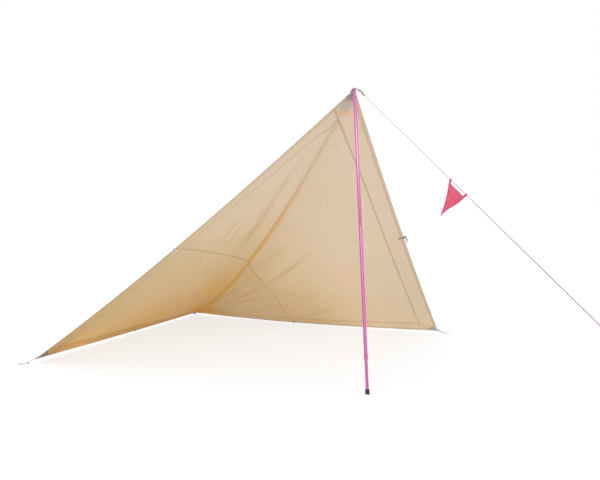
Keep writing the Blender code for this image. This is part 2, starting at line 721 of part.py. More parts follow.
def make_pole(paint, rubber, steel):
    pivot = add_empty("pole_pivot", pole_frame())
    pin, plug = pin_diameter / 2, plug_diameter / 2
    tube_outer = tube_diameter / 2
    tube_inner = tube_outer - tube_wall
    spigot = tube_inner - slide_clearance
    profile = [(0, pin_height), (0.6 * pin, pin_height), (pin, pin_height - pin_chamfer),
               (pin, -shoulder_depth), (plug, -plug_cone_depth), (plug, -plug_visible),
               (spigot, -plug_visible - slide_clearance), (spigot, -plug_visible - spigot_length),
               (0, -plug_visible - spigot_length)]
    turned("tip_plug", profile, paint, Matrix.Identity(4), parent=pivot)
    top = -plug_visible - 2 * slide_clearance
    joint = top - upper_tube_length
    mouth = lower_tube_showing - pole_length
    make_pipe("upper_tube", tube_inner, tube_outer, joint + slide_clearance, top, paint, pivot)
    middle = make_pipe("middle_tube", tube_inner, tube_outer, mouth, joint, paint, pivot)
    ferrule_outer = tube_inner - slide_clearance
    make_pipe("joint_ferrule", ferrule_outer - tube_wall, ferrule_outer, joint - ferrule_length / 2,
              joint + ferrule_length / 2, steel, pivot)
    lower_outer = tube_inner - slide_clearance
    lower_inner = lower_outer - lower_tube_wall
    foot_top = foot_floor + slide_clearance - pole_length
    lower = make_pipe("lower_tube", lower_inner, lower_outer, foot_top, foot_top + lower_tube_length,
                      paint, pivot)
    lowest = Vector((lower_outer, 0, first_hole - pole_length))
    steps_up = [Vector((0, 0, hole_pitch * k)) for k in range(1, hole_count)]
    holes = cutter("lower_tube_holes", lowest, Vector((1, 0, 0)), hole_diameter / 2, 3 * lower_tube_wall,
                   parent=pivot, extra=steps_up)
    cut_with(lower, holes)
    collar_inner = tube_outer + slide_clearance
    collar_outer = collar_inner + collar_wall
    collar = make_pipe("lock_collar", collar_inner, collar_outer, mouth, mouth + collar_height, paint, pivot)
    button_height = first_hole + hole_pitch * hole_in_use - pole_length
    passage = Vector(((collar_outer + tube_inner) / 2, 0, button_height))
    bore = cutter("button_passage", passage, Vector((1, 0, 0)), hole_diameter / 2, through_length,
                  parent=pivot)
    cut_with(collar, bore)
    cut_with(middle, bore)
    make_button(lower_outer, collar_outer, button_height, steel, pivot)
    make_foot(lower_outer, rubber, pivot)


def make_pipe(name, inner, outer, low, high, shade, parent):
    profile = [(inner, low), (outer, low), (outer, high), (inner, high)]
    return turned(name, profile, shade, Matrix.Identity(4), closed=True, parent=parent)


def make_button(lower_outer, collar_outer, height, steel, parent):
    nose = button_diameter / 2
    head = button_head / 2
    tip = lower_outer + slide_clearance
    seat = collar_outer + button_travel + slide_clearance
    top = seat + button_head_height
    profile = [(0, tip), (0.7 * nose, tip), (nose, tip + button_round), (nose, seat), (head, seat),
               (head, top - button_round), (0.75 * head, top), (0, top)]
    turn = Matrix.Rotation(pi / 2, 4, "Y")
    turned("lock_button", profile, steel, Matrix.Translation((0, 0, height)) @ turn, parent=parent, steps=16)


def make_foot(lower_outer, rubber, parent):
    """A cup under the lower tube, its sole cut level with the ground while the pole leans."""
    outer = foot_diameter / 2
    socket = lower_outer + slide_clearance
    profile = [(0, -foot_offcut), (outer, -foot_offcut), (outer, 0.4 * foot_height),
               (0.93 * outer, foot_height - foot_rim), (0.88 * outer, foot_height), (socket, foot_height),
               (socket, foot_floor), (0, foot_floor)]
    level = pole_frame().to_3x3().inverted() @ up
    shift = Matrix.Translation((0, 0, -pole_length))
    turned("rubber_foot", profile, rubber, shift, parent=parent, cut=(Vector(), level))


def main():
    for item in list(bpy.data.objects):
        bpy.data.objects.remove(item, do_unlink=True)
    cotton = material("sand_cotton", (0.70, 0.54, 0.37), 0.90)
    tape = material("golden_seam_tape", (0.62, 0.44, 0.24), 0.85)
    canvas = material("taupe_canvas", (0.38, 0.31, 0.27), 0.85)
    webbing = material("grey_webbing", (0.28, 0.28, 0.27), 0.70)
    steel = material("grey_steel", (0.48, 0.49, 0.48), 0.35, 1.0)
    paint = material("pink_painted_tube", (0.74, 0.15, 0.46), 0.30)
    rubber = material("black_rubber", (0.03, 0.03, 0.03), 0.80)
    raspberry = material("raspberry_cord", (0.45, 0.05, 0.14), 0.75)
    runner = material("dark_red_plastic", (0.35, 0.02, 0.06), 0.45)
    grey_cord = material("pale_grey_cord", (0.45, 0.45, 0.43), 0.80)
    crimson = material("crimson_flag_cloth", (0.70, 0.09, 0.17), 0.80)
    make_panels(cotton)
    make_facings(cotton)
    make_hems(cotton)
    make_tapes(tape)
    make_patches(canvas)
    for corner in ("left", "right", "back"):
        make_corner_strap(corner, webbing)
        make_peg_loop(corner, grey_cord)
    # The cross seam ends at the left and rear right tabs; the other two are at the middle of their edges
    for edge, along, reach, bend in (("left", loom_width, tab_reach, 0),
                                     ("right", edge_length / 2, right_tab_reach, right_tab_bend)):
        centre, axis = make_tab(edge, along, reach, bend, webbing)
        make_hanging_dee(edge, centre, axis, steel)
    for edge, along in (("rear_left", edge_length / 2), ("rear_right", loom_width)):
        make_tab(edge, along, back_tab_reach, 0, webbing)
    make_apex(webbing, steel)
    make_guy(raspberry, runner)
    make_pennant(crimson)
    make_pole(paint, rubber, steel)


main()
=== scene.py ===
import bpy
import bmesh
import numpy as np
from math import pi, radians, sin, sqrt
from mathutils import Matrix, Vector


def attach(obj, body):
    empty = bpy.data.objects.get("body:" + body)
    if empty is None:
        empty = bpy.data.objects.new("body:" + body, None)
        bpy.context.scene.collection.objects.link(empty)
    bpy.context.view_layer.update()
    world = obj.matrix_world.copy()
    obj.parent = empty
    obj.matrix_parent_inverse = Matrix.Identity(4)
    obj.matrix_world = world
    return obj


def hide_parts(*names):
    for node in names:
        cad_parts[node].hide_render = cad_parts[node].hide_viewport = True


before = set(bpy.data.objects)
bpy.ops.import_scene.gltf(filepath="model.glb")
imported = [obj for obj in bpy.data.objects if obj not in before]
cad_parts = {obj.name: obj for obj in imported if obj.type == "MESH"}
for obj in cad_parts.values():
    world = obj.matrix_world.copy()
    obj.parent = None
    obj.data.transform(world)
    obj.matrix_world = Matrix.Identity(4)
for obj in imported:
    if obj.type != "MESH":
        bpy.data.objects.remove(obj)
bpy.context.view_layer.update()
up = Vector((0, 0, 1))


def addObject(name, data):
    item = bpy.data.objects.new(name, data)
    bpy.context.scene.collection.objects.link(item)
    return item


# Camera at the photograph's place, found from the corners, the pole and the seams

cameraSet = {
    "place": (-1.8070, -3.1952, 0.9130), "headingDeg": 23.273, "downDeg": 0.075, "lensPx": 619.84,
    "widthPx": 600, "sensorMm": 36, "clip": (0.05, 100)}


def addCamera(s):
    data = bpy.data.cameras.new("camera")
    data.sensor_width = s["sensorMm"]
    data.lens = s["lensPx"] * s["sensorMm"] / s["widthPx"]
    data.clip_start, data.clip_end = s["clip"]
    camera = addObject("camera", data)
    camera.location = s["place"]
    camera.rotation_euler = (radians(90 - s["downDeg"]), 0, radians(-s["headingDeg"]))
    bpy.context.scene.camera = camera


addCamera(cameraSet)
print("camera placed")


# Small helpers for nodes

class Nodes:
    def __init__(self, owner):  # owner: a new material or world
        self.owner = owner
        owner.use_nodes = True
        self.tree = owner.node_tree
        self.shader = self.tree.nodes.get("Principled BSDF")

    def add(self, kind, inputs=None, **settings):
        node = self.tree.nodes.new(kind)
        for key, value in settings.items():
            setattr(node, key, value)
        for key, value in (inputs or {}).items():
            self.feed(node.inputs[key], value)
        return node

    def feed(self, socket, value):
        if isinstance(value, bpy.types.NodeSocket):
            self.tree.links.new(value, socket)
        else:
            socket.default_value = value

    def maths(self, operation, a, b=0.0, c=0.0):
        return self.add("ShaderNodeMath", {0: a, 1: b, 2: c}, operation=operation).outputs[0]

    def times(self, a, b):
        return self.maths("MULTIPLY", a, b)

    def plus(self, a, b):
        return self.maths("ADD", a, b)

    def minus(self, a, b):
        return self.maths("SUBTRACT", a, b)

    def vectorMaths(self, operation, a, b):  # for operations that give one number
        return self.add("ShaderNodeVectorMath", {0: a, 1: b}, operation=operation).outputs["Value"]

    def between(self, value, low, high, outLow=0.0, outHigh=1.0):  # a smooth step from low to high
        return self.add("ShaderNodeMapRange", {0: value, 1: low, 2: high, 3: outLow, 4: outHigh},
                        interpolation_type="SMOOTHSTEP").outputs[0]

    def band(self, value, centre, half, soft):  # 1 within half of the centre, fading over soft
        away = self.maths("ABSOLUTE", self.minus(value, centre))
        return self.between(away, half, half + soft, 1.0, 0.0)

    def mix(self, share, a, b, blend="MIX"):
        node = self.add("ShaderNodeMix", data_type="RGBA", blend_type=blend)
        for index, value in ((0, share), (6, a), (7, b)):
            self.feed(node.inputs[index], value)
        return node.outputs[2]

    def shaded(self, colour, value):  # the colour times a number
        grey = self.add("ShaderNodeCombineColor", {0: value, 1: value, 2: value}).outputs[0]
        return self.mix(1.0, colour, grey, "MULTIPLY")

    def noise(self, vector, scale, detail=2.0, roughness=0.5):
        return self.add("ShaderNodeTexNoise", {"Vector": vector, "Scale": scale, "Detail": detail,
                                               "Roughness": roughness}).outputs[0]

    def wave(self, vector, scale, distortion, way):
        return self.add("ShaderNodeTexWave", {"Vector": vector, "Scale": scale, "Distortion": distortion,
                                              "Detail": 1.0}, bands_direction=way).outputs[1]

    def stretched(self, vector, scale):  # the vector times a scale along each axis
        return self.add("ShaderNodeMapping", {"Vector": vector, "Scale": scale}).outputs[0]

    def part(self, vector, axis):
        return self.add("ShaderNodeSeparateXYZ", {0: vector}).outputs[axis]

    def spot(self):  # Object coordinates, in metres
        return self.add("ShaderNodeTexCoord").outputs["Object"]

    def flat(self):  # the UV map, where the flat cloth lies
        return self.add("ShaderNodeUVMap", uv_map="UVMap").outputs[0]

    def attribute(self, name):
        return self.add("ShaderNodeAttribute", attribute_name=name).outputs["Fac"]

    def bump(self, height, strength, distance, normal=None):
        node = self.add("ShaderNodeBump", {"Height": height, "Strength": strength, "Distance": distance})
        if normal is not None:
            self.feed(node.inputs["Normal"], normal)
        return node.outputs[0]

    def surface(self, colour, roughness, normal=None, **fixed):
        self.feed(self.shader.inputs["Base Color"], colour)
        self.feed(self.shader.inputs["Roughness"], roughness)
        if normal is not None:
            self.feed(self.shader.inputs["Normal"], normal)
        for key, value in fixed.items():
            self.shader.inputs[key].default_value = value
        return self.owner


def newFinish(name):
    return Nodes(bpy.data.materials.new(name))


def linear(red, green, blue):  # from 0 to 255 as a screen shows it
    parts = [value / 255 for value in (red, green, blue)]
    return (*[part / 12.92 if part <= 0.04045 else ((part + 0.055) / 1.055) ** 2.4 for part in parts], 1.0)


def darker(colour, share):
    return (colour[0] * share, colour[1] * share, colour[2] * share, 1)


# Studio. Each lamp: the way to it, its angle in degrees, its power and whether it gives gloss only.
# Each floor fill: its place, size and power, for the light that a white floor sends up under the cloth

studio = {"floorSize": 80, "floorDown": 0.0005, "floorColour": (0.90, 0.90, 0.90, 1), "floorRough": 0.9,
          "floorLift": 0.70, "floorGlow": 1.06, "worldStrength": 0.80, "lampAway": 8,
          "lamps": {"frontLeft": ((-0.62, -0.85, 0.16), 50, 0.85, False),
                    "frontRight": ((0.55, -0.90, 0.12), 50, 0.76, False),
                    "spark": ((-0.47, -0.84, 0.42), 24, 3.8, True),
                    "above": ((-0.25, 0.20, 1.0), 75, 0.55, False)},
          "floorFills": (((-0.15, 2.65, 0.012), 3.1, 11.0), ((1.50, 1.76, 0.012), 0.5, 0.19),
                         ((-1.45, 2.00, 0.012), 0.5, 0.09))}


def seenDirectly(n):  # 1 for the camera and in gloss, where the background stays white
    ray = n.add("ShaderNodeLightPath")
    seen = n.maths("MAXIMUM", ray.outputs["Is Camera Ray"], ray.outputs["Is Glossy Ray"])
    return n.maths("MAXIMUM", seen, ray.outputs["Is Transmission Ray"])


def addFloor(s):
    n = newFinish("paleFloor")
    n.surface(s["floorColour"], s["floorRough"])
    glow = n.add("ShaderNodeEmission", {"Color": (1, 1, 1, 1), "Strength": s["floorGlow"]})
    both = n.add("ShaderNodeMixShader", {0: n.times(seenDirectly(n), s["floorLift"]), 1: n.shader.outputs[0],
                                         2: glow.outputs[0]})
    n.feed(n.tree.nodes["Material Output"].inputs[0], both.outputs[0])
    bm = bmesh.new()
    bmesh.ops.create_grid(bm, x_segments=1, y_segments=1, size=s["floorSize"] / 2)
    bmesh.ops.translate(bm, verts=bm.verts, vec=(0, 0, -s["floorDown"]))
    mesh = bpy.data.meshes.new("floor")
    bm.to_mesh(mesh)
    bm.free()
    mesh.materials.append(n.owner)
    addObject("floor", mesh)


def addLight(s):
    n = Nodes(bpy.data.worlds.new("studio"))
    bpy.context.scene.world = n.owner
    back = n.tree.nodes["Background"]
    n.feed(back.inputs["Color"], (1, 1, 1, 1))
    n.feed(back.inputs["Strength"], n.between(seenDirectly(n), 0, 1, s["worldStrength"], 1.0))
    for name, (way, angleDeg, power, glossOnly) in s["lamps"].items():
        data = bpy.data.lights.new(name, "SUN")
        data.angle = radians(angleDeg)
        data.energy = power
        lamp = addObject(name, data)
        lamp.location = Vector(way) * s["lampAway"]
        lamp.rotation_euler = Vector(way).to_track_quat("Z", "Y").to_euler()
        lamp.visible_diffuse = not glossOnly
    for spot, size, power in s["floorFills"]:
        data = bpy.data.lights.new("floorFill", "AREA")
        data.size = size
        data.energy = power
        fill = addObject("floorFill", data)
        fill.location = spot
        fill.rotation_euler = (pi, 0, pi / 4)  # it faces up
        fill.visible_camera = False
        fill.visible_glossy = False
    bpy.context.scene.view_settings.view_transform = "Standard"


addFloor(studio)
addLight(studio)
print("studio lit")


# The pitched cloth. p runs from the apex to the left corner, q from the apex to the right corner

cloth = {
    "edge": 3.0, "seamAt": 1.5, "apexTrim": 0.042, "cells": 200, "thickness": 0.0012,
    "apex": (0.010, 0.180, 1.840), "spread": 1.790, "cornerHeight": 0.030, "frontStretch": 1.0040,
    "rearStretch": 1.0007, "ridgeHang": (0, 0, -0.225), "frontLeftHang": (-0.045, 0, -0.090),
    "frontRightHang": (-0.018, 0, -0.007), "rearLeftHang": (0, 0, -0.006),
    "rearRightHang": (-0.100, 0.030, -0.018), "belly": 0.028,
    "stripPull": {
        "width": 0.145, "fade": 0.30, "centre": 0.20, "ridge": 0.06, "left": (0.046, 0.13),
        "right": (0.022, 0.45), "leftNarrow": (-0.050, 1.28, 0.28)},
    "seamPull": {
        "fade": 0.30, "beyond": (0, 0.07, 0.16, 0.27, 0.38, 0.58, 0.80, 1.05, 1.50),
        "shift": (0, 0.018, 0.036, 0.024, 0, -0.020, -0.030, -0.004, 0), "leftEnd": (-0.012, 0.30)}}
foldForm = {
    "wander": 0.012, "wanderTurns": 5.1, "startWide": 0.6, "besideDeep": 0.35, "besideWide": 2.2,
    "darkDepth": 0.004, "swayFade": 0.5}
# Soft folds: from and to as (p, q), how deep, how wide, how far the ends fade, how much painted shade its
# crease gets
folds = (
    ((0.40, 0.17), (1.53, 1.10), -0.0040, 0.054, 0.45, 0.6),
    ((0.50, 0.16), (1.30, 0.76), 0.0016, 0.036, 0.35, 0.1),
    ((0.42, 0.15), (0.80, 0.30), -0.0012, 0.024, 0.20, 0.4),
    ((1.12, 0.26), (1.36, 0.37), 0.0012, 0.016, 0.09, 0.0),
    ((1.17, 0.20), (1.44, 0.37), 0.0012, 0.016, 0.09, 0.0),
    ((1.16, 0.40), (1.34, 0.58), -0.0013, 0.014, 0.08, 0.5),
    ((1.26, 0.52), (1.46, 0.73), -0.0014, 0.015, 0.09, 0.5),
    ((1.20, 0.58), (1.40, 0.80), -0.0013, 0.014, 0.09, 0.5),
    ((1.14, 0.56), (1.36, 0.72), 0.0010, 0.014, 0.09, 0.0),
    ((1.52, 0.50), (1.70, 0.76), -0.0014, 0.018, 0.12, 0.4),
    ((1.52, 0.66), (1.80, 1.14), -0.0015, 0.018, 0.14, 0.4),
    ((1.52, 0.88), (2.02, 1.70), -0.0016, 0.020, 0.18, 0.4),
    ((1.56, 1.16), (1.92, 1.72), -0.0014, 0.018, 0.14, 0.4),
    ((1.60, 0.60), (2.30, 1.10), -0.0018, 0.034, 0.40, 0.4),
    ((2.84, 0.16), (2.30, 0.62), 0.0028, 0.034, 0.30, 0.2),
    ((2.88, 0.22), (2.62, 0.90), 0.0030, 0.034, 0.30, 0.3),
    ((2.80, 0.10), (2.10, 0.30), -0.0024, 0.032, 0.30, 0.4),
    ((0.155, 0.35), (0.30, 0.315), -0.0018, 0.011, 0.05, 1.2),
    ((0.155, 0.285), (0.22, 0.27), -0.0014, 0.010, 0.03, 1.1),
    ((2.62, 2.66), (1.78, 1.96), -0.0054, 0.028, 0.22, 0.8),
    ((2.34, 2.43), (1.54, 1.77), 0.0038, 0.046, 0.30, 0.0),
    ((2.40, 2.58), (1.54, 2.02), -0.0044, 0.028, 0.24, 0.7),
    ((2.30, 2.46), (1.58, 1.94), 0.0020, 0.022, 0.22, 0.0),
    ((2.30, 2.58), (1.58, 2.20), -0.0030, 0.030, 0.25, 0.5),
    ((2.10, 2.72), (1.52, 2.50), -0.0026, 0.026, 0.20, 0.5),
    ((2.60, 2.80), (1.90, 2.72), -0.0020, 0.026, 0.30, 0.4),
    ((1.48, 1.94), (0.66, 1.38), -0.0028, 0.038, 0.45, 0.55),
    ((1.50, 1.88), (0.96, 1.46), 0.0026, 0.032, 0.25, 0.0),
    ((1.48, 1.65), (0.92, 1.24), -0.0016, 0.050, 0.32, 0.4),
    ((1.49, 1.60), (1.24, 1.38), 0.0018, 0.024, 0.10, 0.0),
    ((1.46, 2.26), (1.20, 2.16), -0.0022, 0.024, 0.10, 0.6),
    ((1.30, 2.36), (0.94, 2.21), -0.0022, 0.026, 0.14, 0.6),
    ((1.34, 2.76), (0.88, 2.53), -0.0024, 0.026, 0.16, 0.6),
    ((1.40, 2.44), (1.00, 2.32), 0.0016, 0.024, 0.14, 0.0),
    ((0.20, 2.86), (0.80, 2.40), 0.0022, 0.034, 0.30, 0.2),
    ((0.16, 2.70), (0.46, 2.10), 0.0018, 0.030, 0.30, 0.2),
)
wrinkleForm = {
    "deep": 0.0020, "shade": 0.9, "endShare": 0.5, "cutsAcross": (-1, -0.5, 0, 0.5, 1), "reachAside": 0.016,
    "reachAlong": 0.02}
# Fine wrinkles, with cuts of their own in the mesh: from and to as (p, q), half width, and depth, which is
# below 0 for a crest
# The depth of each fine wrinkle also sets the painted shade in its crease
fineWrinkles = (
    ((1.00, 0.23), (1.46, 0.33), 0.015, -0.28),
    ((1.08, 0.18), (1.44, 0.32), 0.015, -0.22),
    ((1.02, 0.27), (1.46, 0.36), 0.015, 0.25),
    ((1.00, 0.38), (1.40, 0.58), 0.017, 0.28),
    ((1.02, 0.48), (1.47, 0.84), 0.017, -0.26),
    ((1.08, 0.44), (1.46, 0.65), 0.016, -0.26),
    ((1.06, 0.48), (1.48, 0.79), 0.017, 0.32),
    ((1.10, 0.40), (1.48, 0.63), 0.016, 0.32),
    ((1.54, 0.53), (1.88, 1.00), 0.020, 0.22),
    ((1.53, 0.68), (1.88, 1.18), 0.020, 0.22),
    ((1.54, 0.87), (1.92, 1.46), 0.022, 0.22),
    ((1.52, 1.00), (1.86, 1.54), 0.022, 0.22),
    ((1.52, 0.56), (1.80, 0.96), 0.020, -0.20),
    ((1.52, 0.74), (1.80, 1.12), 0.020, -0.20),
    ((2.70, 2.76), (2.04, 2.14), 0.016, 0.65),
    ((2.20, 2.24), (1.70, 1.92), 0.019, 0.55),
    ((2.46, 2.56), (2.02, 2.19), 0.012, 0.60),
    ((2.42, 2.58), (1.82, 2.12), 0.018, 0.55),
    ((2.02, 2.22), (1.50, 2.02), 0.018, 0.50),
    ((2.14, 2.50), (1.58, 2.21), 0.015, 0.50),
    ((2.28, 2.46), (1.52, 1.90), 0.028, -0.45),
    ((2.62, 2.68), (1.60, 1.82), 0.032, -0.55),
    ((1.96, 2.70), (1.46, 2.46), 0.018, 0.45),
    ((2.12, 2.62), (1.82, 2.63), 0.013, 0.40),
    ((1.47, 1.935), (1.02, 1.65), 0.020, 0.40),
    ((1.26, 1.81), (0.76, 1.46), 0.026, 0.25),
    ((1.50, 1.88), (0.96, 1.46), 0.032, -0.22),
    ((1.46, 1.64), (0.92, 1.24), 0.032, 0.18),
    ((1.48, 2.27), (1.12, 2.14), 0.020, 0.35),
    ((1.40, 2.39), (0.86, 2.18), 0.022, 0.35),
    ((1.42, 2.79), (0.80, 2.50), 0.022, 0.40),
    ((0.20, 0.35), (0.31, 0.31), 0.008, 0.80),
    ((0.155, 0.29), (0.21, 0.275), 0.007, 0.70),
)


def hill(x, centre, fade):
    return np.exp(-((x - centre) / fade) ** 2)


def eased(x):  # a smooth step from 0 to 1
    return x * x * (3 - 2 * x)


def pulled(p, q, s):  # where a place of the cut cloth has moved to along the cloth
    strip, swell = s["stripPull"], s["seamPull"]

    def inStrip(x):
        return np.where(x < strip["width"], x / strip["width"], hill(x, strip["width"], strip["fade"]))

    moveP = strip["right"][0] * inStrip(p) * hill(q, strip["centre"], strip["right"][1])
    moveQ = strip["left"][0] * inStrip(q) * hill(p, strip["centre"], strip["left"][1])
    onRidge = hill(p, q, strip["ridge"])  # both sides of the ridge move alike
    mean = (moveP + moveQ) / 2
    moveP, moveQ = moveP + (mean - moveP) * onRidge, moveQ + (mean - moveQ) * onRidge
    onSeam = hill(p, s["seamAt"], swell["fade"])
    bow = np.interp(np.clip(q - p, 0, None), swell["beyond"], swell["shift"])
    end = swell["leftEnd"][0] * hill(q, 0, swell["leftEnd"][1])
    deep, centre, fade = strip["leftNarrow"]
    moveQ += deep * inStrip(q) * hill(p, centre, fade)
    return p + moveP + (bow + np.where(p > q, end, 0)) * onSeam, q + moveQ


def pitchedPoints(p, q, s):
    p, q = pulled(p, q, s)
    edge, apex = s["edge"], np.array(s["apex"])
    rise = s["apex"][2] - s["cornerHeight"]
    setback = apex[1] + sqrt((edge * s["frontStretch"]) ** 2 - s["spread"] ** 2 - rise ** 2)
    reach = setback + sqrt((edge * s["rearStretch"]) ** 2 - s["spread"] ** 2)
    back = np.array((0, reach, s["cornerHeight"]))
    left = (p >= q)[..., None]
    corner = np.where(left, (-s["spread"], setback, s["cornerHeight"]),
                      (s["spread"], setback, s["cornerHeight"]))
    front = np.where(left, s["frontLeftHang"], s["frontRightHang"])
    rear = np.where(left, s["rearLeftHang"], s["rearRightHang"])
    belly = np.where(left, (0, 0, s["belly"]), (0, 0, -s["belly"]))
    far, near = np.maximum(p, q)[..., None] / edge, np.minimum(p, q)[..., None] / edge
    a, c, b = 1 - far, far - near, near
    hung = a * b * np.array(s["ridgeHang"]) + a * c * front + c * b * rear
    return apex * a + corner * c + back * b + 4 * hung + 27 * a * b * c * belly


def foldHeights(p, q, s):  # height of the folds, and how much painted shade their creases get
    form = foldForm
    height, crease = np.zeros_like(p), np.zeros_like(p)
    for start, end, deep, widest, fade, creaseShadeShare in folds:
        start, end = np.array(start), np.array(end)
        length = np.linalg.norm(end - start)
        along = (end - start) / length
        far = (p - start[0]) * along[0] + (q - start[1]) * along[1]
        aside = -(p - start[0]) * along[1] + (q - start[1]) * along[0]
        wander = form["wander"] * np.sin(far * form["wanderTurns"] + start[0] * 7)
        ends = eased(np.clip(far / fade, 0, 1) * np.clip((length - far) / fade, 0, 1))
        wide = widest * (form["startWide"] + (1 - form["startWide"]) * np.clip(far / length, 0, 1))
        shape = hill(aside, wander, wide)
        height += deep * ends * (shape - form["besideDeep"] * hill(aside, wander, form["besideWide"] * wide))
        crease += abs(deep) * creaseShadeShare / form["darkDepth"] * ends * shape
    sway = 0.0016 * np.sin(2.1 * p + 3.4 * q + 0.6) * np.sin(3.0 * p - 2.3 * q)  # long slow waves
    sway += 0.0008 * np.sin(9.0 * p + 2.0 * np.sin(3 * q)) * np.sin(7.5 * q + 2.0 * np.sin(2.5 * p))
    inside = np.minimum(np.minimum(p, q), np.minimum(s["edge"] - p, s["edge"] - q))
    return height + sway * np.clip(inside / form["swayFade"], 0, 1), np.clip(crease, 0, 1)


def wrinkleMarks(p, q):  # from -1 on a crest to 1 in a crease
    marks = np.zeros_like(p)
    for start, end, wide, depth in fineWrinkles:
        start, end = np.array(start), np.array(end)
        half = np.linalg.norm(end - start) / 2
        along = (end - start) / (2 * half)
        offP, offQ = p - (start[0] + end[0]) / 2, q - (start[1] + end[1]) / 2
        beyond = np.abs(offP * along[0] + offQ * along[1]) / half
        far = np.clip((1 - beyond) / wrinkleForm["endShare"], 0, 1)
        aside = np.clip(np.abs(offQ * along[0] - offP * along[1]) / wide, 0, 1)
        marks += depth * eased(far) * (0.5 + 0.5 * np.cos(pi * aside))
    return marks


def cutWrinkles(bm):  # rows of points along each fine wrinkle
    reachAside, reachAlong = wrinkleForm["reachAside"], wrinkleForm["reachAlong"]
    for start, end, wide, depth in fineWrinkles:
        run = Vector((*end, 0)) - Vector((*start, 0))
        middle, half = Vector((*start, 0)) + run / 2, run.length / 2
        run.normalize()
        aside = Vector((-run.y, run.x, 0))
        for share in wrinkleForm["cutsAcross"]:
            near = []
            for face in bm.faces:
                off = face.calc_center_median() - middle
                if abs(off.dot(aside)) < wide + reachAside and abs(off.dot(run)) < half + reachAlong:
                    near.append(face)
            parts = list(dict.fromkeys(part for face in near for part in (*face.verts, *face.edges)))
            bmesh.ops.bisect_plane(bm, geom=near + parts, dist=1e-5, plane_co=middle + aside * (wide * share),
                                   plane_no=aside)


def makePitch(s):
    step = s["edge"] / s["cells"]
    line = np.arange(s["cells"] + 1) * step
    p, q = np.meshgrid(line, line, indexing="ij")
    small = 1e-4

    def normal(atP, atQ):
        def slope(moveP, moveQ):
            return (pitchedPoints(atP + moveP * small, atQ + moveQ * small, s)
                    - pitchedPoints(atP - moveP * small, atQ - moveQ * small, s))

        across = np.cross(slope(0, 1), slope(1, 0))
        return across / np.linalg.norm(across, axis=-1, keepdims=True)

    aside = small * 40
    sides = normal(p + aside, q - aside) + normal(p - aside, q + aside)
    sides /= np.linalg.norm(sides, axis=-1, keepdims=True)
    normals = np.where((p == q)[..., None], sides, normal(p, q))  # on the ridge, the mean of both sides
    return pitchedPoints(p, q, s) + normals * foldHeights(p, q, s)[0][..., None], normals, step


pitchPoints, pitchNormals, pitchStep = makePitch(cloth)
print("pitch worked out")


def place(p, q, height=0.0):  # through the triangles between grid points, so that layers stay parallel
    last = cloth["cells"] - 1
    i = min(max(int(p / pitchStep + 1e-6), 0), last)
    j = min(max(int(q / pitchStep + 1e-6), 0), last)
    a, b = p / pitchStep - i, q / pitchStep - j
    middle = (i + 1, j) if a >= b else (i, j + 1)
    spot = np.zeros(3)
    for (x, y), share in (((i, j), 1 - max(a, b)), (middle, abs(a - b)), ((i + 1, j + 1), min(a, b))):
        spot += share * (pitchPoints[x, y] + height * pitchNormals[x, y])
    return Vector(spot)


def finishMesh(bm, name, sharpDeg=50):
    mesh = bpy.data.meshes.new(name)
    bm.to_mesh(mesh)
    bm.free()
    mesh.shade_smooth()
    mesh.set_sharp_from_angle(angle=radians(sharpDeg))
    return mesh


def addPiece(name, data, material, body, replaced=()):
    piece = addObject(name, data)
    data.materials.append(material)
    if replaced:
        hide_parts(*replaced)
    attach(piece, body)
    return piece


def cutFlat(first, count, cell, planes):  # a grid cut by planes, each a point and the normal of what stays
    bm = bmesh.new()
    bmesh.ops.create_grid(bm, x_segments=count[0], y_segments=count[1], size=0.5)
    bmesh.ops.scale(bm, verts=bm.verts, vec=(count[0] * cell, count[1] * cell, 1))
    bmesh.ops.translate(bm, verts=bm.verts, vec=((first[0] + count[0] / 2) * cell,
                                                 (first[1] + count[1] / 2) * cell, 0))
    for point, normal in planes:
        everything = bm.verts[:] + bm.edges[:] + bm.faces[:]
        bmesh.ops.bisect_plane(bm, geom=everything, dist=1e-6, plane_co=point, plane_no=normal,
                               clear_inner=True)
    return bm


def thicken(bm, thickness, whole=1.0):  # the flat places go into the UV map, as shares of the whole
    layer = bm.loops.layers.uv.new("UVMap")
    for face in bm.faces:
        for loop in face.loops:
            loop[layer].uv = (loop.vert.co.x / whole, loop.vert.co.y / whole)
    grown = bmesh.ops.extrude_face_region(bm, geom=bm.faces[:])
    raised = [item for item in grown["geom"] if isinstance(item, bmesh.types.BMVert)]
    bmesh.ops.translate(bm, verts=raised, vec=(0, 0, thickness))


def onDiagonal(face):
    centre = face.calc_center_median()
    return len(face.verts) > 3 and abs(centre.x - centre.y) < pitchStep / 2


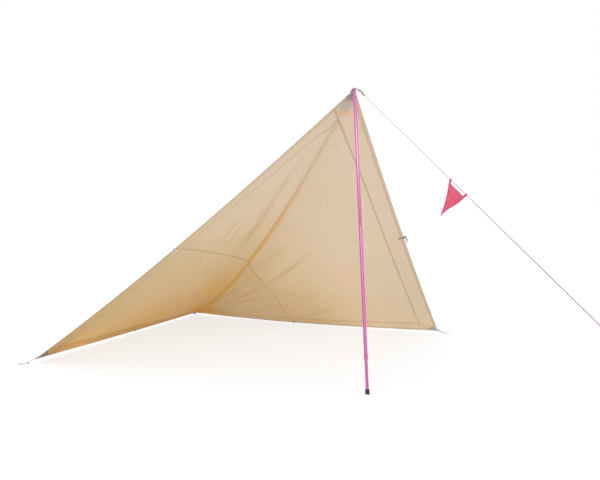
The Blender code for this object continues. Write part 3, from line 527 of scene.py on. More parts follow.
def clothPiece(name, s, material, replaced):
    # s: box (p and q from and to), limits (a, b, c) that keep a*p + b*q >= c, inset (a, b, c), the distance
    # a*p + b*q + c that the material reads, underside and thickness
    (lowP, lowQ), (highP, highQ) = s["box"]
    first = int(lowP / pitchStep + 1e-6), int(lowQ / pitchStep + 1e-6)
    count = [min(int(high / pitchStep + 0.999), cloth["cells"]) - low
             for high, low in zip((highP, highQ), first)]
    planes = []
    for a, b, c in s["limits"]:
        normal = Vector((a, b, 0))
        planes.append((normal * (c / normal.length_squared), normal))
    bm = cutFlat(first, count, pitchStep, planes)
    bmesh.ops.triangulate(bm, faces=[face for face in bm.faces if onDiagonal(face)])
    wrinkled = s.get("wrinkled", False)
    if wrinkled:
        cutWrinkles(bm)
    thicken(bm, s["thickness"], cloth["edge"])
    bmesh.ops.recalc_face_normals(bm, faces=bm.faces[:])
    flat = np.array([vert.co for vert in bm.verts])
    creases = foldHeights(flat[:, 0], flat[:, 1], cloth)[1]
    marks = wrinkleMarks(flat[:, 0], flat[:, 1]) * (1 if wrinkled else 0)
    a, b, c = s["inset"]
    creaseLayer, insetLayer = bm.verts.layers.float.new("crease"), bm.verts.layers.float.new("inset")
    for vert, (p, q, height), crease, mark in zip(bm.verts, flat, creases, marks):
        # the crease attribute carries the painted shade of the folds and fine wrinkles
        vert[creaseLayer] = crease + wrinkleForm["shade"] * mark
        vert[insetLayer] = a * p + b * q + c
        vert.co = place(p, q, s["underside"] + height - wrinkleForm["deep"] * mark)
    bmesh.ops.reverse_faces(bm, faces=bm.faces[:])
    return addPiece(name, finishMesh(bm, name), material, "canopy", replaced)


# Cloth finishes. Distances are metres along the flat cloth, read from the UV map.
# Ranges go to a smooth step: from, to, and then what it gives at either end

# The cotton's tones are painted light and shade: peach above, turning tan and gold where the cloth looks
# darker and warmer towards the ground, the back, the creases and the ridge. seam is the golden colour of the
# painted shade along the ridge, which the patches' golden rims use too, and deep is the painted shade in the
# back corner. The mottle and the slubs are the cloth's own uneven tone.
cottonLook = {
    "peach": linear(220, 202, 177), "tan": linear(208, 184, 145), "gold": linear(208, 172, 108),
    "seam": linear(219, 170, 77), "deep": linear(210, 160, 85), "thread": linear(166, 128, 92),
    "edge": cloth["edge"], "threadsPerMetre": 900, "sheen": 0.04, "roughness": 0.92, "gloss": 0.1,
    "down": (0.1, 3.2), "across": (0.0, 3.0, 0.80, 1.04), "mottle": (1.8, 3, 0.30),
    "farSide": (1.5, 3.0, 0.0, 0.16), "paleSpot": (2.4, 2.6, 0), "paleFade": (0.2, 1.2, -0.50, 0.0),
    "besideRidge": ((-0.02, 0.03), (0.05, 0.90, 0.45, 0.0), (1.1, 2.4)), "creaseGold": 0.30,
    "toTan": (0.05, 0.50), "toGold": (0.45, 1.02), "creaseShade": (-1.0, 1.0, 1.045, 0.955),
    "ridgeShadeBand": ((0.010, 0.072, 1.0, 0.0), (0.2, 1.7, 0.12, 0.80), (2.35, 2.85, 1.0, 0.1)),
    "shadedCornerSpot": (3.0, 2.85, 0), "shadedCornerFade": (0.10, 0.80, 0.95, 0.0), "slubShade": (0.75, 1.25, 0.962, 1.025),
    "foldEdge": (0.0215, 0.0235, 1.0, 0.0), "foldShade": -0.14, "rim": (0.0008, 0.0046, 1.0, 0.0),
    "rimShare": 0.42, "hemRow": 0.0190, "hemThread": 0.75, "stripRows": (0.019, 0.136, 0.142),
    "ridgeRow": 0.009, "crossRow": 0.003, "sheetThread": 0.8, "weaveBump": (0.25, 0.0003),
    "crumples": ((60, 4, 0.30, 0.0012), (14, 3, 0.22, 0.006)), "seamBump": (0.5, 0.0012)}
stitchForm = {
    "half": 0.0007, "soft": 0.0006, "pitch": 0.0021, "gap": (0.0003, 0.0007), "grooveHalf": 0.0010,
    "grooveSoft": 0.0022, "grooveShade": 0.30, "grooveDeep": 0.6}
canvasForm = {
    "grain": (40, 3), "rough": 0.006, "rim": (0.003, 0.014), "golden": (0.012, 0.026), "goldenShare": 0.2,
    "hemFade": 0.03}


def weave(n, metres, threads):
    rows = [n.wave(metres, threads / 20, 0.4, way) for way in ("X", "Y")]
    return n.plus(rows[0], rows[1])


def slubs(n, metres):
    wide = n.noise(n.stretched(metres, (6, 260, 1)), 1.0, 3)
    tall = n.noise(n.stretched(metres, (260, 6, 1)), 1.0, 3)
    return n.plus(wide, tall)


def stitchRows(n, across, along, rows):  # thread colour with painted shade in each row's groove, and the height of the rows
    form = stitchForm
    shade, height = 0.0, 0.0
    for centre in rows:
        row = n.band(across, centre, form["half"], form["soft"])
        stitch = n.times(row, n.between(n.maths("PINGPONG", along, form["pitch"]), *form["gap"]))
        # painted shade in the groove along the row
        groove = n.band(across, centre, form["grooveHalf"], form["grooveSoft"])
        shade = n.maths("MAXIMUM", shade, n.maths("MAXIMUM", stitch, n.times(groove, form["grooveShade"])))
        height = n.plus(height, n.minus(stitch, n.times(groove, form["grooveDeep"])))
    return shade, height


def cottonTone(n, s, metres, p, q):  # painted light and shade: peach above, golden and darker towards the ground, the back and the ridge
    scale, detail, mottle = s["mottle"]
    gold = n.times(n.between(p, *s["down"]), n.between(q, *s["across"]))
    gold = n.plus(gold, n.times(n.minus(n.noise(metres, scale, detail), 0.5), mottle))
    gold = n.plus(gold, n.between(q, *s["farSide"]))
    # painted light: less gold around this spot by the back corner
    behind = n.vectorMaths("DISTANCE", metres, s["paleSpot"])
    gold = n.plus(gold, n.between(behind, *s["paleFade"]))
    side = n.minus(p, q)
    onLeft, fading, lower = s["besideRidge"]  # the left panel takes gold light from the right one there
    leftOfRidge = n.times(n.between(side, *onLeft), n.between(side, *fading))
    gold = n.plus(gold, n.times(leftOfRidge, n.between(p, *lower)))
    # painted shade in the creases: more gold and a little darker
    crease = n.attribute("crease")
    gold = n.plus(gold, n.times(crease, s["creaseGold"]))
    warm = n.mix(n.between(gold, *s["toTan"]), s["peach"], s["tan"])
    warm = n.mix(n.between(gold, *s["toGold"]), warm, s["gold"])
    warm = n.shaded(warm, n.between(crease, *s["creaseShade"]))
    # painted golden shade along the ridge, fading near the apex and the back corner
    near, growing, ending = s["ridgeShadeBand"]
    glow = n.times(n.between(n.maths("ABSOLUTE", side), *near), n.between(p, *growing))
    glow = n.times(glow, n.between(p, *ending))
    # painted shade in the back corner
    corner = n.vectorMaths("DISTANCE", metres, s["shadedCornerSpot"])
    warm = n.mix(n.between(corner, *s["shadedCornerFade"]), warm, s["deep"])
    return n.mix(glow, warm, s["seam"])


def cornerCanvas(n, s, colour, corner, metres, fold):  # canvas in the corner, cotton further in
    inset, form = n.attribute("inset"), canvasForm
    grain = n.noise(metres, *form["grain"])
    rough = n.times(n.minus(grain, 0.5), corner.get("rough", form["rough"]))
    edge = n.plus(inset, rough)
    canvas = n.mix(n.between(edge, *corner["turn"]), corner["dark"], corner["light"])
    share = n.between(edge, corner["to"] - corner["soft"], corner["to"], 1.0, 0.0)
    if "tongue" in corner:  # the canvas ends in a tongue with a golden rim
        tongue = corner["tongue"]
        reach = n.plus(n.vectorMaths("DISTANCE", metres, (*tongue["centre"], 0)), rough)
        rim = n.times(n.band(reach, tongue["rim"], *form["rim"]), n.between(inset, *tongue["rimFrom"]))
        colour = n.mix(rim, colour, s["seam"])
        share = n.maths("MAXIMUM", share, n.between(reach, *tongue["canvas"], 1.0, 0.0))
    if "golden" in corner:
        line = n.band(inset, corner["golden"], *form["golden"])
        colour = n.mix(n.times(line, form["goldenShare"]), colour, s["seam"])
    if "hemTo" in corner:  # the folded hem beyond is cotton
        folded = n.times(fold, n.between(inset, corner["hemTo"], corner["hemTo"] + form["hemFade"]))
        share = n.times(share, n.maths("MULTIPLY_ADD", folded, -1.0, 1.0))
    return n.mix(share, colour, canvas)


def cottonMaterial(name, s, shade=1.0, rows=(), alongP=True, hem=False, corner=None, throughStitch=False):
    # rows: distances of stitch rows by the inset attribute. corner: how a patch turns from canvas to cotton
    n = newFinish(name)
    metres = n.stretched(n.flat(), (s["edge"],) * 3)
    p, q = n.part(metres, 0), n.part(metres, 1)
    colour = cottonTone(n, s, metres, p, q)
    relief = None
    if hem or corner or throughStitch:  # the distance from the nearest edge, and a run along any edge
        nearest = n.maths("MINIMUM", n.maths("MINIMUM", p, q),
                          n.maths("MINIMUM", n.minus(s["edge"], p), n.minus(s["edge"], q)))
        edgeRun = n.plus(p, q)
    if hem or corner:
        fold = n.between(nearest, *s["foldEdge"]) if corner else 1.0
        colour = n.shaded(colour, n.maths("MULTIPLY_ADD", fold, s["foldShade"], 1.0))
        if corner:
            colour = cornerCanvas(n, s, colour, corner, metres, fold)
        colour = n.mix(n.times(n.between(nearest, *s["rim"]), s["rimShare"]), colour, s["thread"])
        stitched, relief = stitchRows(n, nearest, edgeRun, (s["hemRow"],))
        colour = n.mix(n.times(stitched, s["hemThread"]), colour, s["thread"])
    if throughStitch:  # the strips, the hem and both seams are sewn through the sheet
        ridge = n.times(n.maths("ABSOLUTE", n.minus(p, q)), sqrt(0.5))
        cross = n.maths("ABSOLUTE", n.minus(p, s["edge"] / 2))
        relief = 0.0
        for across, run, places in ((nearest, edgeRun, s["stripRows"]), (ridge, p, (s["ridgeRow"],)),
                                    (cross, q, (s["crossRow"],))):
            stitched, height = stitchRows(n, across, run, places)
            colour = n.mix(n.times(stitched, s["sheetThread"]), colour, s["thread"])
            relief = n.plus(relief, height)
    if rows:
        stitched, relief = stitchRows(n, n.attribute("inset"), p if alongP else q, rows)
        colour = n.mix(stitched, colour, s["thread"])
    colour = n.shaded(colour, n.times(n.between(slubs(n, metres), *s["slubShade"]), shade))
    normal = n.bump(weave(n, metres, s["threadsPerMetre"]), *s["weaveBump"])
    for scale, detail, strength, distance in s["crumples"]:
        normal = n.bump(n.noise(metres, scale, detail), strength, distance, normal)
    if relief is not None:
        normal = n.bump(relief, *s["seamBump"], normal)
    return n.surface(colour, s["roughness"], normal, **{"Sheen Weight": s["sheen"], "Sheen Roughness": 0.5,
                                                        "Specular IOR Level": s["gloss"]})


canopyCotton = cottonMaterial("sandCotton", cottonLook, throughStitch=True)

# The canopy is one sheet. Facings, hems, tapes and patches lie under it, each a little lower

layers = {
    "canopy": -0.0006, "facing": -0.0021, "tape": -0.0020, "patch": -0.0036, "hem": -0.0036,
    "thickness": 0.0010, "tapeThick": 0.0009, "facingWidth": 0.145, "hemWidth": 0.022, "tapeWidth": 0.024,
    "patchCut": 0.235, "patchEnd": 0.128, "gap": 0.0012, "rowInset": 0.0030, "rowGap": 0.0060,
    "facingShade": 0.985, "patchShade": 0.97, "groundGold": linear(200, 156, 92),
    "groundTan": linear(204, 172, 124)}
noInset = (0, 0, 0)  # for pieces whose finish doesn't need it
# Canvas of the patches: cotton from "to" on, fading over "soft", and dark to light over "turn"
canvases = {
    "apex": {
        "to": 0.148, "soft": 0.026, "turn": (0.085, 0.120), "rough": 0.010, "dark": linear(158, 144, 140),
        "light": linear(196, 182, 168), "hemTo": 0.055,
        "tongue": {
            "centre": (0.066, 0.066), "canvas": (0.034, 0.064), "rim": 0.066,
            "rimFrom": (0.16, 0.20, 0.0, 0.34)}},
    "left": {
        "to": 0.145, "soft": 0.004, "turn": (0, 0.145), "dark": linear(136, 118, 108),
        "light": linear(158, 140, 128)},
    "right": {
        "to": 0.118, "soft": 0.006, "turn": (0, 0.112), "dark": linear(150, 145, 146),
        "light": linear(170, 164, 164), "hemTo": 0.030, "golden": 0.150},
    # the back patch is painted near black: painted shade in the back corner
    "back": {
        "to": 0.150, "soft": 0.050, "turn": (0, 0.150), "dark": linear(44, 27, 16),
        "light": linear(84, 58, 36)}}


def makeCanopy(s):
    whole = {"box": ((0, 0), (s["edge"], s["edge"])), "limits": ((1, 1, s["apexTrim"]),),
             "inset": noInset, "underside": layers["canopy"], "thickness": s["thickness"], "wrinkled": True}
    return clothPiece("canopy_sheet", whole, canopyCotton,
                      ("panel_front_left", "panel_front_right", "panel_rear_left", "panel_rear_right"))


def sewOn(cuts, layer, own, theirs, thickness="thickness"):
    # cuts: name to box, limits, inset and material. The CAD node's name has "theirs" in place of "own"
    return [clothPiece(name, {"box": box, "limits": limits, "inset": inset, "underside": layers[layer],
                              "thickness": layers[thickness]},
                       material, (name.replace(own, theirs),))
            for name, (box, limits, inset, material) in cuts.items()]


def makeFacings(s):  # the right edge's strip runs from end to end, and the others stop at it
    edge, width, gap, shade = s["edge"], layers["facingWidth"], layers["gap"], layers["facingShade"]
    row = width - layers["rowInset"]
    rows = (row, row - layers["rowGap"])
    acrossP = cottonMaterial("sandCottonStripP", cottonLook, shade, rows, alongP=True)
    acrossQ = cottonMaterial("sandCottonStripQ", cottonLook, shade, rows, alongP=False)
    # the strip along the ground takes darker tan and gold: painted shade near the ground
    groundLook = {**cottonLook, "gold": layers["groundGold"], "tan": layers["groundTan"]}
    golden = cottonMaterial("sandCottonStripGround", groundLook, shade, rows, alongP=False)
    mitre = gap / sqrt(2)
    end = (1, 0, width + gap)
    cuts = {"border_front_right": (((0, 0), (width, edge)), ((-1, 0, -width), (1, 1, s["apexTrim"])),
                                   (1, 0, 0), acrossQ),
            "border_front_left": (((width, 0), (edge, width)),
                                  ((0, -1, -width), end, (-1, -1, mitre - edge)), (0, 1, 0), acrossP),
            "border_rear_left": (((edge - width, 0), (edge, edge)),
                                 ((1, 0, edge - width), (1, 1, edge + mitre), (1, -1, mitre)),
                                 (-1, 0, edge), golden),
            "border_rear_right": (((width, edge - width), (edge, edge)),
                                  ((0, 1, edge - width), end, (-1, 1, mitre)), (0, -1, edge), acrossP)}
    return sewOn(cuts, "facing", "border", "facing")


def makeHems(s):
    edge, width = s["edge"], layers["hemWidth"]
    start = layers["facingWidth"] + layers["gap"]
    end, outer = edge - start, edge - width
    betweenP, betweenQ = ((1, 0, start), (-1, 0, -end)), ((0, 1, start), (0, -1, -end))
    rest = (noInset, cottonMaterial("sandCottonHem", cottonLook, hem=True))
    cuts = {"hem_fold_front_left": (((start, 0), (end, width)), ((0, -1, -width), *betweenP), *rest),
            "hem_fold_front_right": (((0, start), (width, end)), ((-1, 0, -width), *betweenQ), *rest),
            "hem_fold_rear_left": (((outer, start), (edge, end)), ((1, 0, outer), *betweenQ), *rest),
            "hem_fold_rear_right": (((start, outer), (end, edge)), ((0, 1, outer), *betweenP), *rest)}
    return sewOn(cuts, "hem", "hem_fold", "hem")


def makeTapes(s):
    start, middle = layers["facingWidth"] + layers["gap"], s["seamAt"]
    end = s["edge"] - start
    width, half = layers["tapeWidth"], layers["tapeWidth"] / sqrt(2)
    beside = half + layers["gap"]
    across = ((1, 0, middle - width / 2), (-1, 0, -middle - width / 2))
    row = layers["rowInset"]
    crossCotton = cottonMaterial("sandCottonCrossSeam", cottonLook, 1.0, (-row, row), alongP=False)
    rest = ((1, 0, -middle), crossCotton)
    cuts = {"ridge_seam": (((start, start), (end, end)), ((1, -1, -half), (-1, 1, -half), (1, 0, start),
                                                          (0, 1, start), (-1, 0, -end), (0, -1, -end)),
                           noInset, canopyCotton),
            "cross_seam_left": (((middle - width, start), (middle + width, middle)),
                                (*across, (1, -1, beside), (0, 1, start)), *rest),
            "cross_seam_right": (((middle - width, middle), (middle + width, end)),
                                 (*across, (-1, 1, beside), (0, -1, -end)), *rest)}
    return sewOn(cuts, "tape", "seam", "tape", "tapeThick")


def makePatches(s):
    edge, width, cut = s["edge"], layers["facingWidth"], layers["patchCut"]
    far = edge - width
    cuts = {"apex": (((0, 0), (width, width)), ((-1, 0, -layers["patchEnd"]), (0, -1, -width), (-1, -1, -cut),
                                                (1, 1, s["apexTrim"])), (1, 1, 0)),
            "left": (((far, 0), (edge, width)), ((1, 0, far), (0, -1, -width), (1, -1, edge - cut)),
                     (-1, 1, edge)),
            "right": (((0, far), (width, edge)), ((-1, 0, -width), (0, 1, far), (-1, 1, edge - cut)),
                      (1, -1, edge)),
            "back": (((far, far), (edge, edge)), ((1, 0, far), (0, 1, far), (1, 1, 2 * edge - cut)),
                     (-1, -1, 2 * edge))}
    patches = {}
    for name, cut in cuts.items():
        canvas = cottonMaterial("taupeCanvas_" + name, cottonLook, layers["patchShade"], corner=canvases[name])
        patches["corner_patch_" + name] = (*cut, canvas)
    return sewOn(patches, "patch", "corner_patch", "patch")


canopy = makeCanopy(cloth)
clothParts = makeFacings(cloth) + makeHems(cloth) + makeTapes(cloth) + makePatches(cloth)
print("cloth sewn")


# Finishes of the rigid pieces, the webbing and the cords

paint = {
    "low": linear(190, 70, 152), "high": linear(202, 93, 167), "heights": (0.3, 1.75),
    "scuff": linear(222, 176, 204), "scuffs": (0.62, 0.78, 0.0, 0.25), "pin": linear(120, 119, 118),
    "pinFrom": (1.8362, 1.8366), "hole": linear(62, 22, 50), "roughness": (0.3, 0.8, 0.30, 0.44), "coat": 0.5,
    "coatRoughness": 0.22}
lockHoles = {
    "axis": (0.00541, 0.09736, 0.99523), "facing": (0.6039, -0.7936, 0.0744),
    "aside": (0.7970, 0.6006, -0.0631), "lowest": 0.0560, "pitch": 0.0535, "highest": 0.4840,
    "rim": (0.0031, 0.0048, 1.0, 0.0), "front": (0.001, 0.003)}
rubber = {
    "black": linear(19, 19, 20), "dust": linear(96, 86, 74), "sole": (0.0, 0.012, 1.0, 0.0), "dustShare": 0.3,
    "roughness": 0.75}
softSheen = {"Sheen Weight": 0.2}
deadMatt = {"Specular IOR Level": 0.08}  # for the webbing and cord painted dark as shade at the back corner


def aroundHoles(n, spot, s):  # 1 in the holes of the lower tube and around them, for painted shade in the holes and dark wear on their rims
    along, across, front = [n.vectorMaths("DOT_PRODUCT", spot, s[way]) for way in ("axis", "aside", "facing")]
    rung = n.maths("PINGPONG", n.minus(along, s["lowest"]), s["pitch"] / 2)
    away = n.maths("SQRT", n.plus(n.times(rung, rung), n.times(across, across)))
    rim = n.times(n.between(away, *s["rim"]), n.between(front, *s["front"]))
    return n.times(rim, n.between(along, s["highest"], s["highest"] + 0.01, 1.0, 0.0))


def paintMaterial(name, s, holes=None):
    n = newFinish(name)
    spot = n.spot()
    height = n.part(spot, 2)
    # painted light: the paint turns lighter towards the top of the pole
    colour = n.mix(n.between(height, *s["heights"]), s["low"], s["high"])
    scuffs = n.noise(n.stretched(spot, (60, 60, 6)), 1.0, 4, 0.65)
    colour = n.mix(n.between(scuffs, *s["scuffs"]), colour, s["scuff"])
    colour = n.mix(n.between(height, *s["pinFrom"]), colour, s["pin"])  # the steel pin above the shoulder
    if holes:
        # painted shade in the lock holes, with dark wear round them
        colour = n.mix(aroundHoles(n, spot, holes), colour, s["hole"])
    return n.surface(colour, n.between(scuffs, *s["roughness"]), n.bump(n.noise(spot, 700, 2), 0.05, 0.0002),
                     **{"Coat Weight": s["coat"], "Coat Roughness": s["coatRoughness"]})


def rubberMaterial(s):
    n = newFinish("footRubber")
    spot = n.spot()
    sole = n.times(n.between(n.part(spot, 2), *s["sole"]), n.between(n.noise(spot, 60, 4), 0.35, 0.7))
    colour = n.mix(n.times(sole, s["dustShare"]), s["black"], s["dust"])
    return n.surface(colour, s["roughness"], n.bump(n.noise(spot, 900, 3), 0.3, 0.0003))


def steelMaterial(name, light, dark, metallic):
    n = newFinish(name)
    wear = n.noise(n.spot(), 260, 4, 0.6)
    colour = n.mix(n.between(wear, 0.3, 0.75), light, dark)
    return n.surface(colour, n.between(wear, 0.3, 0.8, 0.28, 0.48), n.bump(wear, 0.08, 0.0002),
                     Metallic=metallic)


def webbingMaterial(name, colour, finish=softSheen):
    n = newFinish(name)
    spot = n.spot()
    rows = n.wave(spot, 55, 1.5, "DIAGONAL")
    fibres = n.noise(spot, 500, 3)
    thread = n.plus(n.times(rows, 0.6), n.times(fibres, 0.5))
    shade = n.mix(n.between(thread, 0.2, 0.9), darker(colour, 0.6), colour)
    return n.surface(shade, 0.82, n.bump(rows, 0.5, 0.0006, n.bump(fibres, 0.3, 0.0004)), **finish)


def cordMaterial(name, colour, light, paler=None, finish=softSheen):
    # paler: (from height, to height, colour) of painted light that makes the cord paler towards the top
    n = newFinish(name)
    spot = n.spot()
    strands = n.wave(spot, 120, 2.0, "DIAGONAL")
    shade = n.mix(n.between(strands, 0.2, 0.8), colour, light)
    if paler:
        low, high, paintedPaleTone = paler
        shade = n.mix(n.between(n.part(spot, 2), low, high, 0.0, 0.8), shade, paintedPaleTone)
    fibres = n.bump(n.noise(spot, 1200, 2), 0.3, 0.0003)
    return n.surface(shade, 0.78, n.bump(strands, 0.45, 0.0005, fibres), **finish)


tubePaint = paintMaterial("pinkTubePaint", paint)
lowerTubePaint = paintMaterial("pinkLowerTubePaint", paint, lockHoles)
footRubber = rubberMaterial(rubber)
# painted light: paleSteel and the pale, warm and tab webbings are lighter or warmer copies of the grey steel
# and grey webbing
greySteel = steelMaterial("greySteel", linear(176, 177, 178), linear(142, 143, 146), 0.9)
paleSteel = steelMaterial("paleSteel", linear(206, 198, 198), linear(190, 184, 186), 0.15)
greyWebbing = webbingMaterial("greyWebbing", linear(150, 148, 144))
paleWebbing = webbingMaterial("paleWebbing", linear(206, 198, 202))
warmWebbing = webbingMaterial("warmWebbing", linear(170, 150, 142))
tabWebbing = webbingMaterial("tabWebbing", linear(176, 146, 134))
# painted shade: a near-black copy of the grey webbing and pale grey cord at the back corner
shadedBackWebbing = webbingMaterial("shadedBackWebbing", linear(34, 22, 15), deadMatt)
crimsonTape = webbingMaterial("crimsonTape", linear(224, 58, 108))
paleTape = webbingMaterial("paleGreyTape", linear(146, 136, 138))
raspberryCord = cordMaterial("raspberryCord", linear(176, 44, 84), linear(206, 104, 132))
guyCord = cordMaterial("guyCordPaintedPaleTop", linear(132, 44, 74), linear(184, 104, 130),
                       (0.75, 1.45, linear(222, 186, 196)))
darkRedPlastic = cordMaterial("darkRedPlastic", linear(158, 30, 56), linear(176, 46, 72))
paleCord = cordMaterial("paleGreyCord", linear(146, 144, 141), linear(172, 170, 167))
shadedBackCord = cordMaterial("shadedBackPegCord", linear(16, 10, 8), linear(28, 18, 13), finish=deadMatt)
print("finishes mixed")


# Pieces whose CAD shape is right: body, finish, slot, and each node with the width of its eased edges

finishedNodes = (
    ("pole", tubePaint, "pink_painted_tube", {"tip_plug": 0.0004, "upper_tube": 0.0002, "middle_tube": 0}),
    ("pole", greySteel, "grey_steel", {"joint_ferrule": 0}),
    ("pole", tubePaint, "pink_painted_tube", {"lock_collar": 0}),
    ("lower_pole", lowerTubePaint, "pink_painted_tube", {"lower_tube": 0}),
    ("button", greySteel, "grey_steel", {"lock_button": 0.0002}),
    ("lower_pole", footRubber, "black_rubber", {"rubber_foot": 0.0010}),
    ("canopy", greySteel, "grey_steel", {"apex_eyelet": 0.0002, "guy_ring": 0}),
    ("ring_left", paleSteel, "grey_steel", {"dee_left": 0}),
    ("ring_right", greySteel, "grey_steel", {"dee_right": 0}),
    ("canopy", warmWebbing, "grey_webbing", {"strap_apex": 0}),
    ("canopy", greyWebbing, "grey_webbing", {"strap_left": 0, "strap_right": 0}),
    ("canopy", shadedBackWebbing, "grey_webbing", {"strap_back": 0}),
    ("canopy", paleWebbing, "grey_webbing", {"tab_left": 0}),
    ("canopy", tabWebbing, "grey_webbing", {"tab_right": 0}),
    ("canopy", greyWebbing, "grey_webbing", {"tab_rear_left": 0, "tab_rear_right": 0}),
    ("runner", darkRedPlastic, "dark_red_plastic", {"line_runner": 0.0002}),
    ("canopy", raspberryCord, "raspberry_cord", {"guy_bight": 0}),
    ("canopy", darkRedPlastic, "dark_red_plastic", {"guy_knot": 0, "guy_end_knot": 0}),
    ("canopy", raspberryCord, "raspberry_cord", {"guy_end_loop": 0}),
    ("canopy", paleCord, "pale_grey_cord", {"peg_loop_left": 0, "peg_loop_right": 0}),
    ("canopy", shadedBackCord, "pale_grey_cord", {"peg_loop_back": 0}),
    ("flag", crimsonTape, "crimson_flag_cloth", {"pennant_loop_upper": 0, "pennant_loop_lower": 0}))


def finishedCopy(node, material, body, bevel, sharpDeg=35):
    # a copy of the CAD node, merged, smoothed and with its edges eased
    bm = bmesh.new()
    bm.from_mesh(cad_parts[node].data)
    bmesh.ops.remove_doubles(bm, verts=bm.verts, dist=0.00002)
    bmesh.ops.recalc_face_normals(bm, faces=bm.faces[:])
    bmesh.ops.dissolve_limit(bm, angle_limit=radians(1), verts=bm.verts[:], edges=bm.edges[:])
    if bevel:
        edges = [edge for edge in bm.edges if edge.is_manifold and edge.calc_face_angle() > radians(sharpDeg)]
        bmesh.ops.bevel(bm, geom=edges, offset=bevel, affect="EDGES", segments=2, profile=0.5, material=-1,
                        clamp_overlap=True)
    name = node + "_finished"
    return addPiece(name, finishMesh(bm, name, sharpDeg), material, body, (node,))


for body, material, slotName, bevels in finishedNodes:
    for node, bevel in bevels.items():
        finishedCopy(node, material, body, bevel)
print("pole, webbing and rings finished")


# Guy line, taut from the knot under the ring to the knot on the ground

guy = {
    "diameter": 0.0030, "apex": (0.010, 0.180, 1.840), "footReach": 2.400, "footShift": 0.100,
    "ringReach": 0.0753, "ringDrop": 0.0361, "endKnot": 0.0084, "endGap": 0.0004, "lineStart": 0.02905,
    "pointCount": 25}


def guyFrame(s):
    foot = Vector((s["footShift"], -s["footReach"], 0))
    apex = Vector(s["apex"])
    level = Vector((foot.x - apex.x, foot.y - apex.y, 0)).normalized()
    ring = apex + level * s["ringReach"] - up * s["ringDrop"]
    knot = foot + up * (s["endKnot"] / 2)
    return ring, knot, (knot - ring).normalized()


guyRing, guyKnot, guyWay = guyFrame(guy)


def makeGuyLine(s):
    start, count = s["lineStart"], s["pointCount"] - 1
    length = (guyKnot - guyRing).length - s["endKnot"] / 2 - s["endGap"] - start
    points = [guyRing + guyWay * (start + length * k / count) for k in range(count + 1)]
    curve = bpy.data.curves.new("guy_cord", "CURVE")
    curve.dimensions = "3D"
    curve.bevel_depth = s["diameter"] / 2
    curve.bevel_resolution = 4
    curve.use_fill_caps = True
    spline = curve.splines.new("POLY")
    spline.points.add(count)
    for slot, point in zip(spline.points, points):
        slot.co = (*point, 1.0)
    line = addPiece("guy_cord", curve, guyCord, "canopy", ("guy_line",))


makeGuyLine(guy)
print("guy line tied")


# Pennant, a cloth triangle that hangs under the guy line from two tapes

pennant = {
    "start": 1.0345, "base": 0.134, "height": 0.166, "lean": 0.0255, "drop": 0.0165, "thickness": 0.0010,
    "cell": 0.004, "hem": 0.0075, "hemThick": 0.0006, "gap": 0.0003, "hemFrom": 0.0155, "rowInset": 0.0012,
    "sway": 0.0030, "pull": (0.0045, 0.0045), "tapeFrom": 0.066, "tapeTo": 0.109, "tapeHeight": 0.0055,
    "cloth": (linear(222, 72, 110), linear(230, 82, 120)),
    "hemCloth": (linear(232, 50, 98), linear(240, 60, 108))}


def crimsonMaterial(name, base, light, rows=()):
    n = newFinish(name)
    spot, uv = n.spot(), n.flat()
    threads = n.noise(spot, 700, 3)
    colour = n.mix(n.between(n.noise(spot, 24, 3), 0.3, 0.7), base, light)
    colour = n.mix(n.between(threads, 0.35, 0.75, 0.0, 0.3), colour, darker(base, 0.6))
    normal = n.bump(n.wave(uv, 60, 0.6, "X"), 0.2, 0.0002, n.bump(threads, 0.4, 0.0004))
    if rows:
        stitched, relief = stitchRows(n, n.attribute("inset"), n.part(uv, 0), rows)
        colour = n.mix(stitched, colour, darker(base, 0.35))
        normal = n.bump(relief, 0.5, 0.0008, normal)
    return n.surface(colour, 0.82, normal, **softSheen)


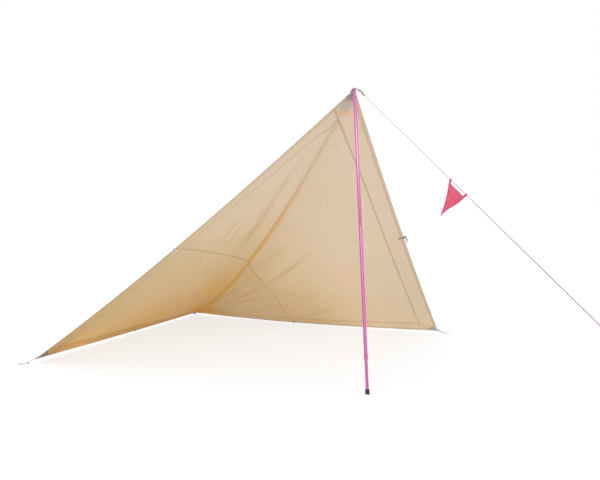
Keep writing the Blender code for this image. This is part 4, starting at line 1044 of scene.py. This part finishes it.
class PennantShape:  # flat places (a along the line, b down from the upper edge) and where they hang
    def __init__(self, s):
        self.s = s
        self.hang = (guyWay * guyWay.z - up).normalized()
        self.face = guyWay.cross(self.hang).normalized()
        self.origin = guyRing + guyWay * s["start"] + self.hang * s["drop"]
        self.tip = Vector((s["base"] / 2 - s["lean"], s["height"]))
        self.sides = []  # a point on each of the two long sides, with the inward normal
        for corner, turn in ((Vector((0, 0)), 1), (Vector((s["base"], 0)), -1)):
            run = (self.tip - corner).normalized()
            self.sides.append((corner, Vector((run.y, -run.x)) * turn))

    def inset(self, a, b):  # distance from the nearer long side
        return min((Vector((a, b)) - corner).dot(normal) for corner, normal in self.sides)

    def hung(self, a, b, out):
        s = self.s
        down = b / s["height"]
        wave = s["sway"] * down * sin(3.0 * down + 38 * a) + 0.3 * s["sway"] * sin(90 * a) * down * (1 - down)
        across = min(max((a - self.tip.x * down) / max(s["base"] * (1 - down), 1e-6), 0), 1)
        side = s["pull"][0] * sin(pi * down) * (1 - across)  # one long side draws in
        side += s["pull"][1] * sin(2 * pi * down) * across  # the other one bulges, then draws in
        return self.origin + guyWay * (a + side) + self.hang * b + self.face * (wave + out)


def pennantPiece(shape, name, limits, underside, thickness, material,
                 replaced=()):
    s = shape.s
    count = int(s["base"] / s["cell"]) + 1, int(s["height"] / s["cell"]) + 1
    bm = cutFlat((0, 0), count, s["cell"], [((*point, 0), (*normal, 0)) for point, normal in limits])
    thicken(bm, thickness)
    insetLayer = bm.verts.layers.float.new("inset")
    for vert in bm.verts:
        a, b, height = vert.co
        vert[insetLayer] = shape.inset(a, b)
        vert.co = shape.hung(a, b, underside + height)
    bmesh.ops.recalc_face_normals(bm, faces=bm.faces[:])
    return addPiece(name, finishMesh(bm, name), material, "flag", replaced)


def makePennant(s):
    shape = PennantShape(s)
    thick, half = s["hemThick"], s["thickness"] / 2
    skins = (("front", half + s["gap"]), ("back", -half - s["gap"] - thick))
    clothShade = crimsonMaterial("crimsonFlagCloth", *s["cloth"])
    hemShade = crimsonMaterial("crimsonFlagHem", *s["hemCloth"], (s["hem"] - s["rowInset"],))
    flag = pennantPiece(shape, "pennant_cloth", shape.sides, -half, s["thickness"], clothShade,
                        replaced=("pennant",))
    upper, lower = shape.sides
    besideUpper = (upper[0] + upper[1] * (s["hem"] + s["gap"]), upper[1])
    underLoops = (Vector((0, s["hemFrom"])), Vector((0, 1)))  # below the tape that goes round the line
    for sideName, (corner, normal), other in (("upper", upper, lower), ("lower", lower, besideUpper)):
        strip = [(corner, normal), (corner + normal * s["hem"], -normal), other, underLoops]
        for skin, underside in skins:
            pennantPiece(shape, "pennant_hem_%s_%s" % (sideName, skin), strip, underside, thick,
                                      hemShade)
    tape = [(Vector((s["tapeFrom"], 0)), Vector((1, 0))), (Vector((s["tapeTo"], 0)), Vector((-1, 0))),
            (Vector((0, s["tapeHeight"])), Vector((0, -1)))]
    for skin, underside in skins:
        pennantPiece(shape, "pennant_tape_" + skin, tape, underside, thick, paleTape)


makePennant(pennant)
print("pennant hung")
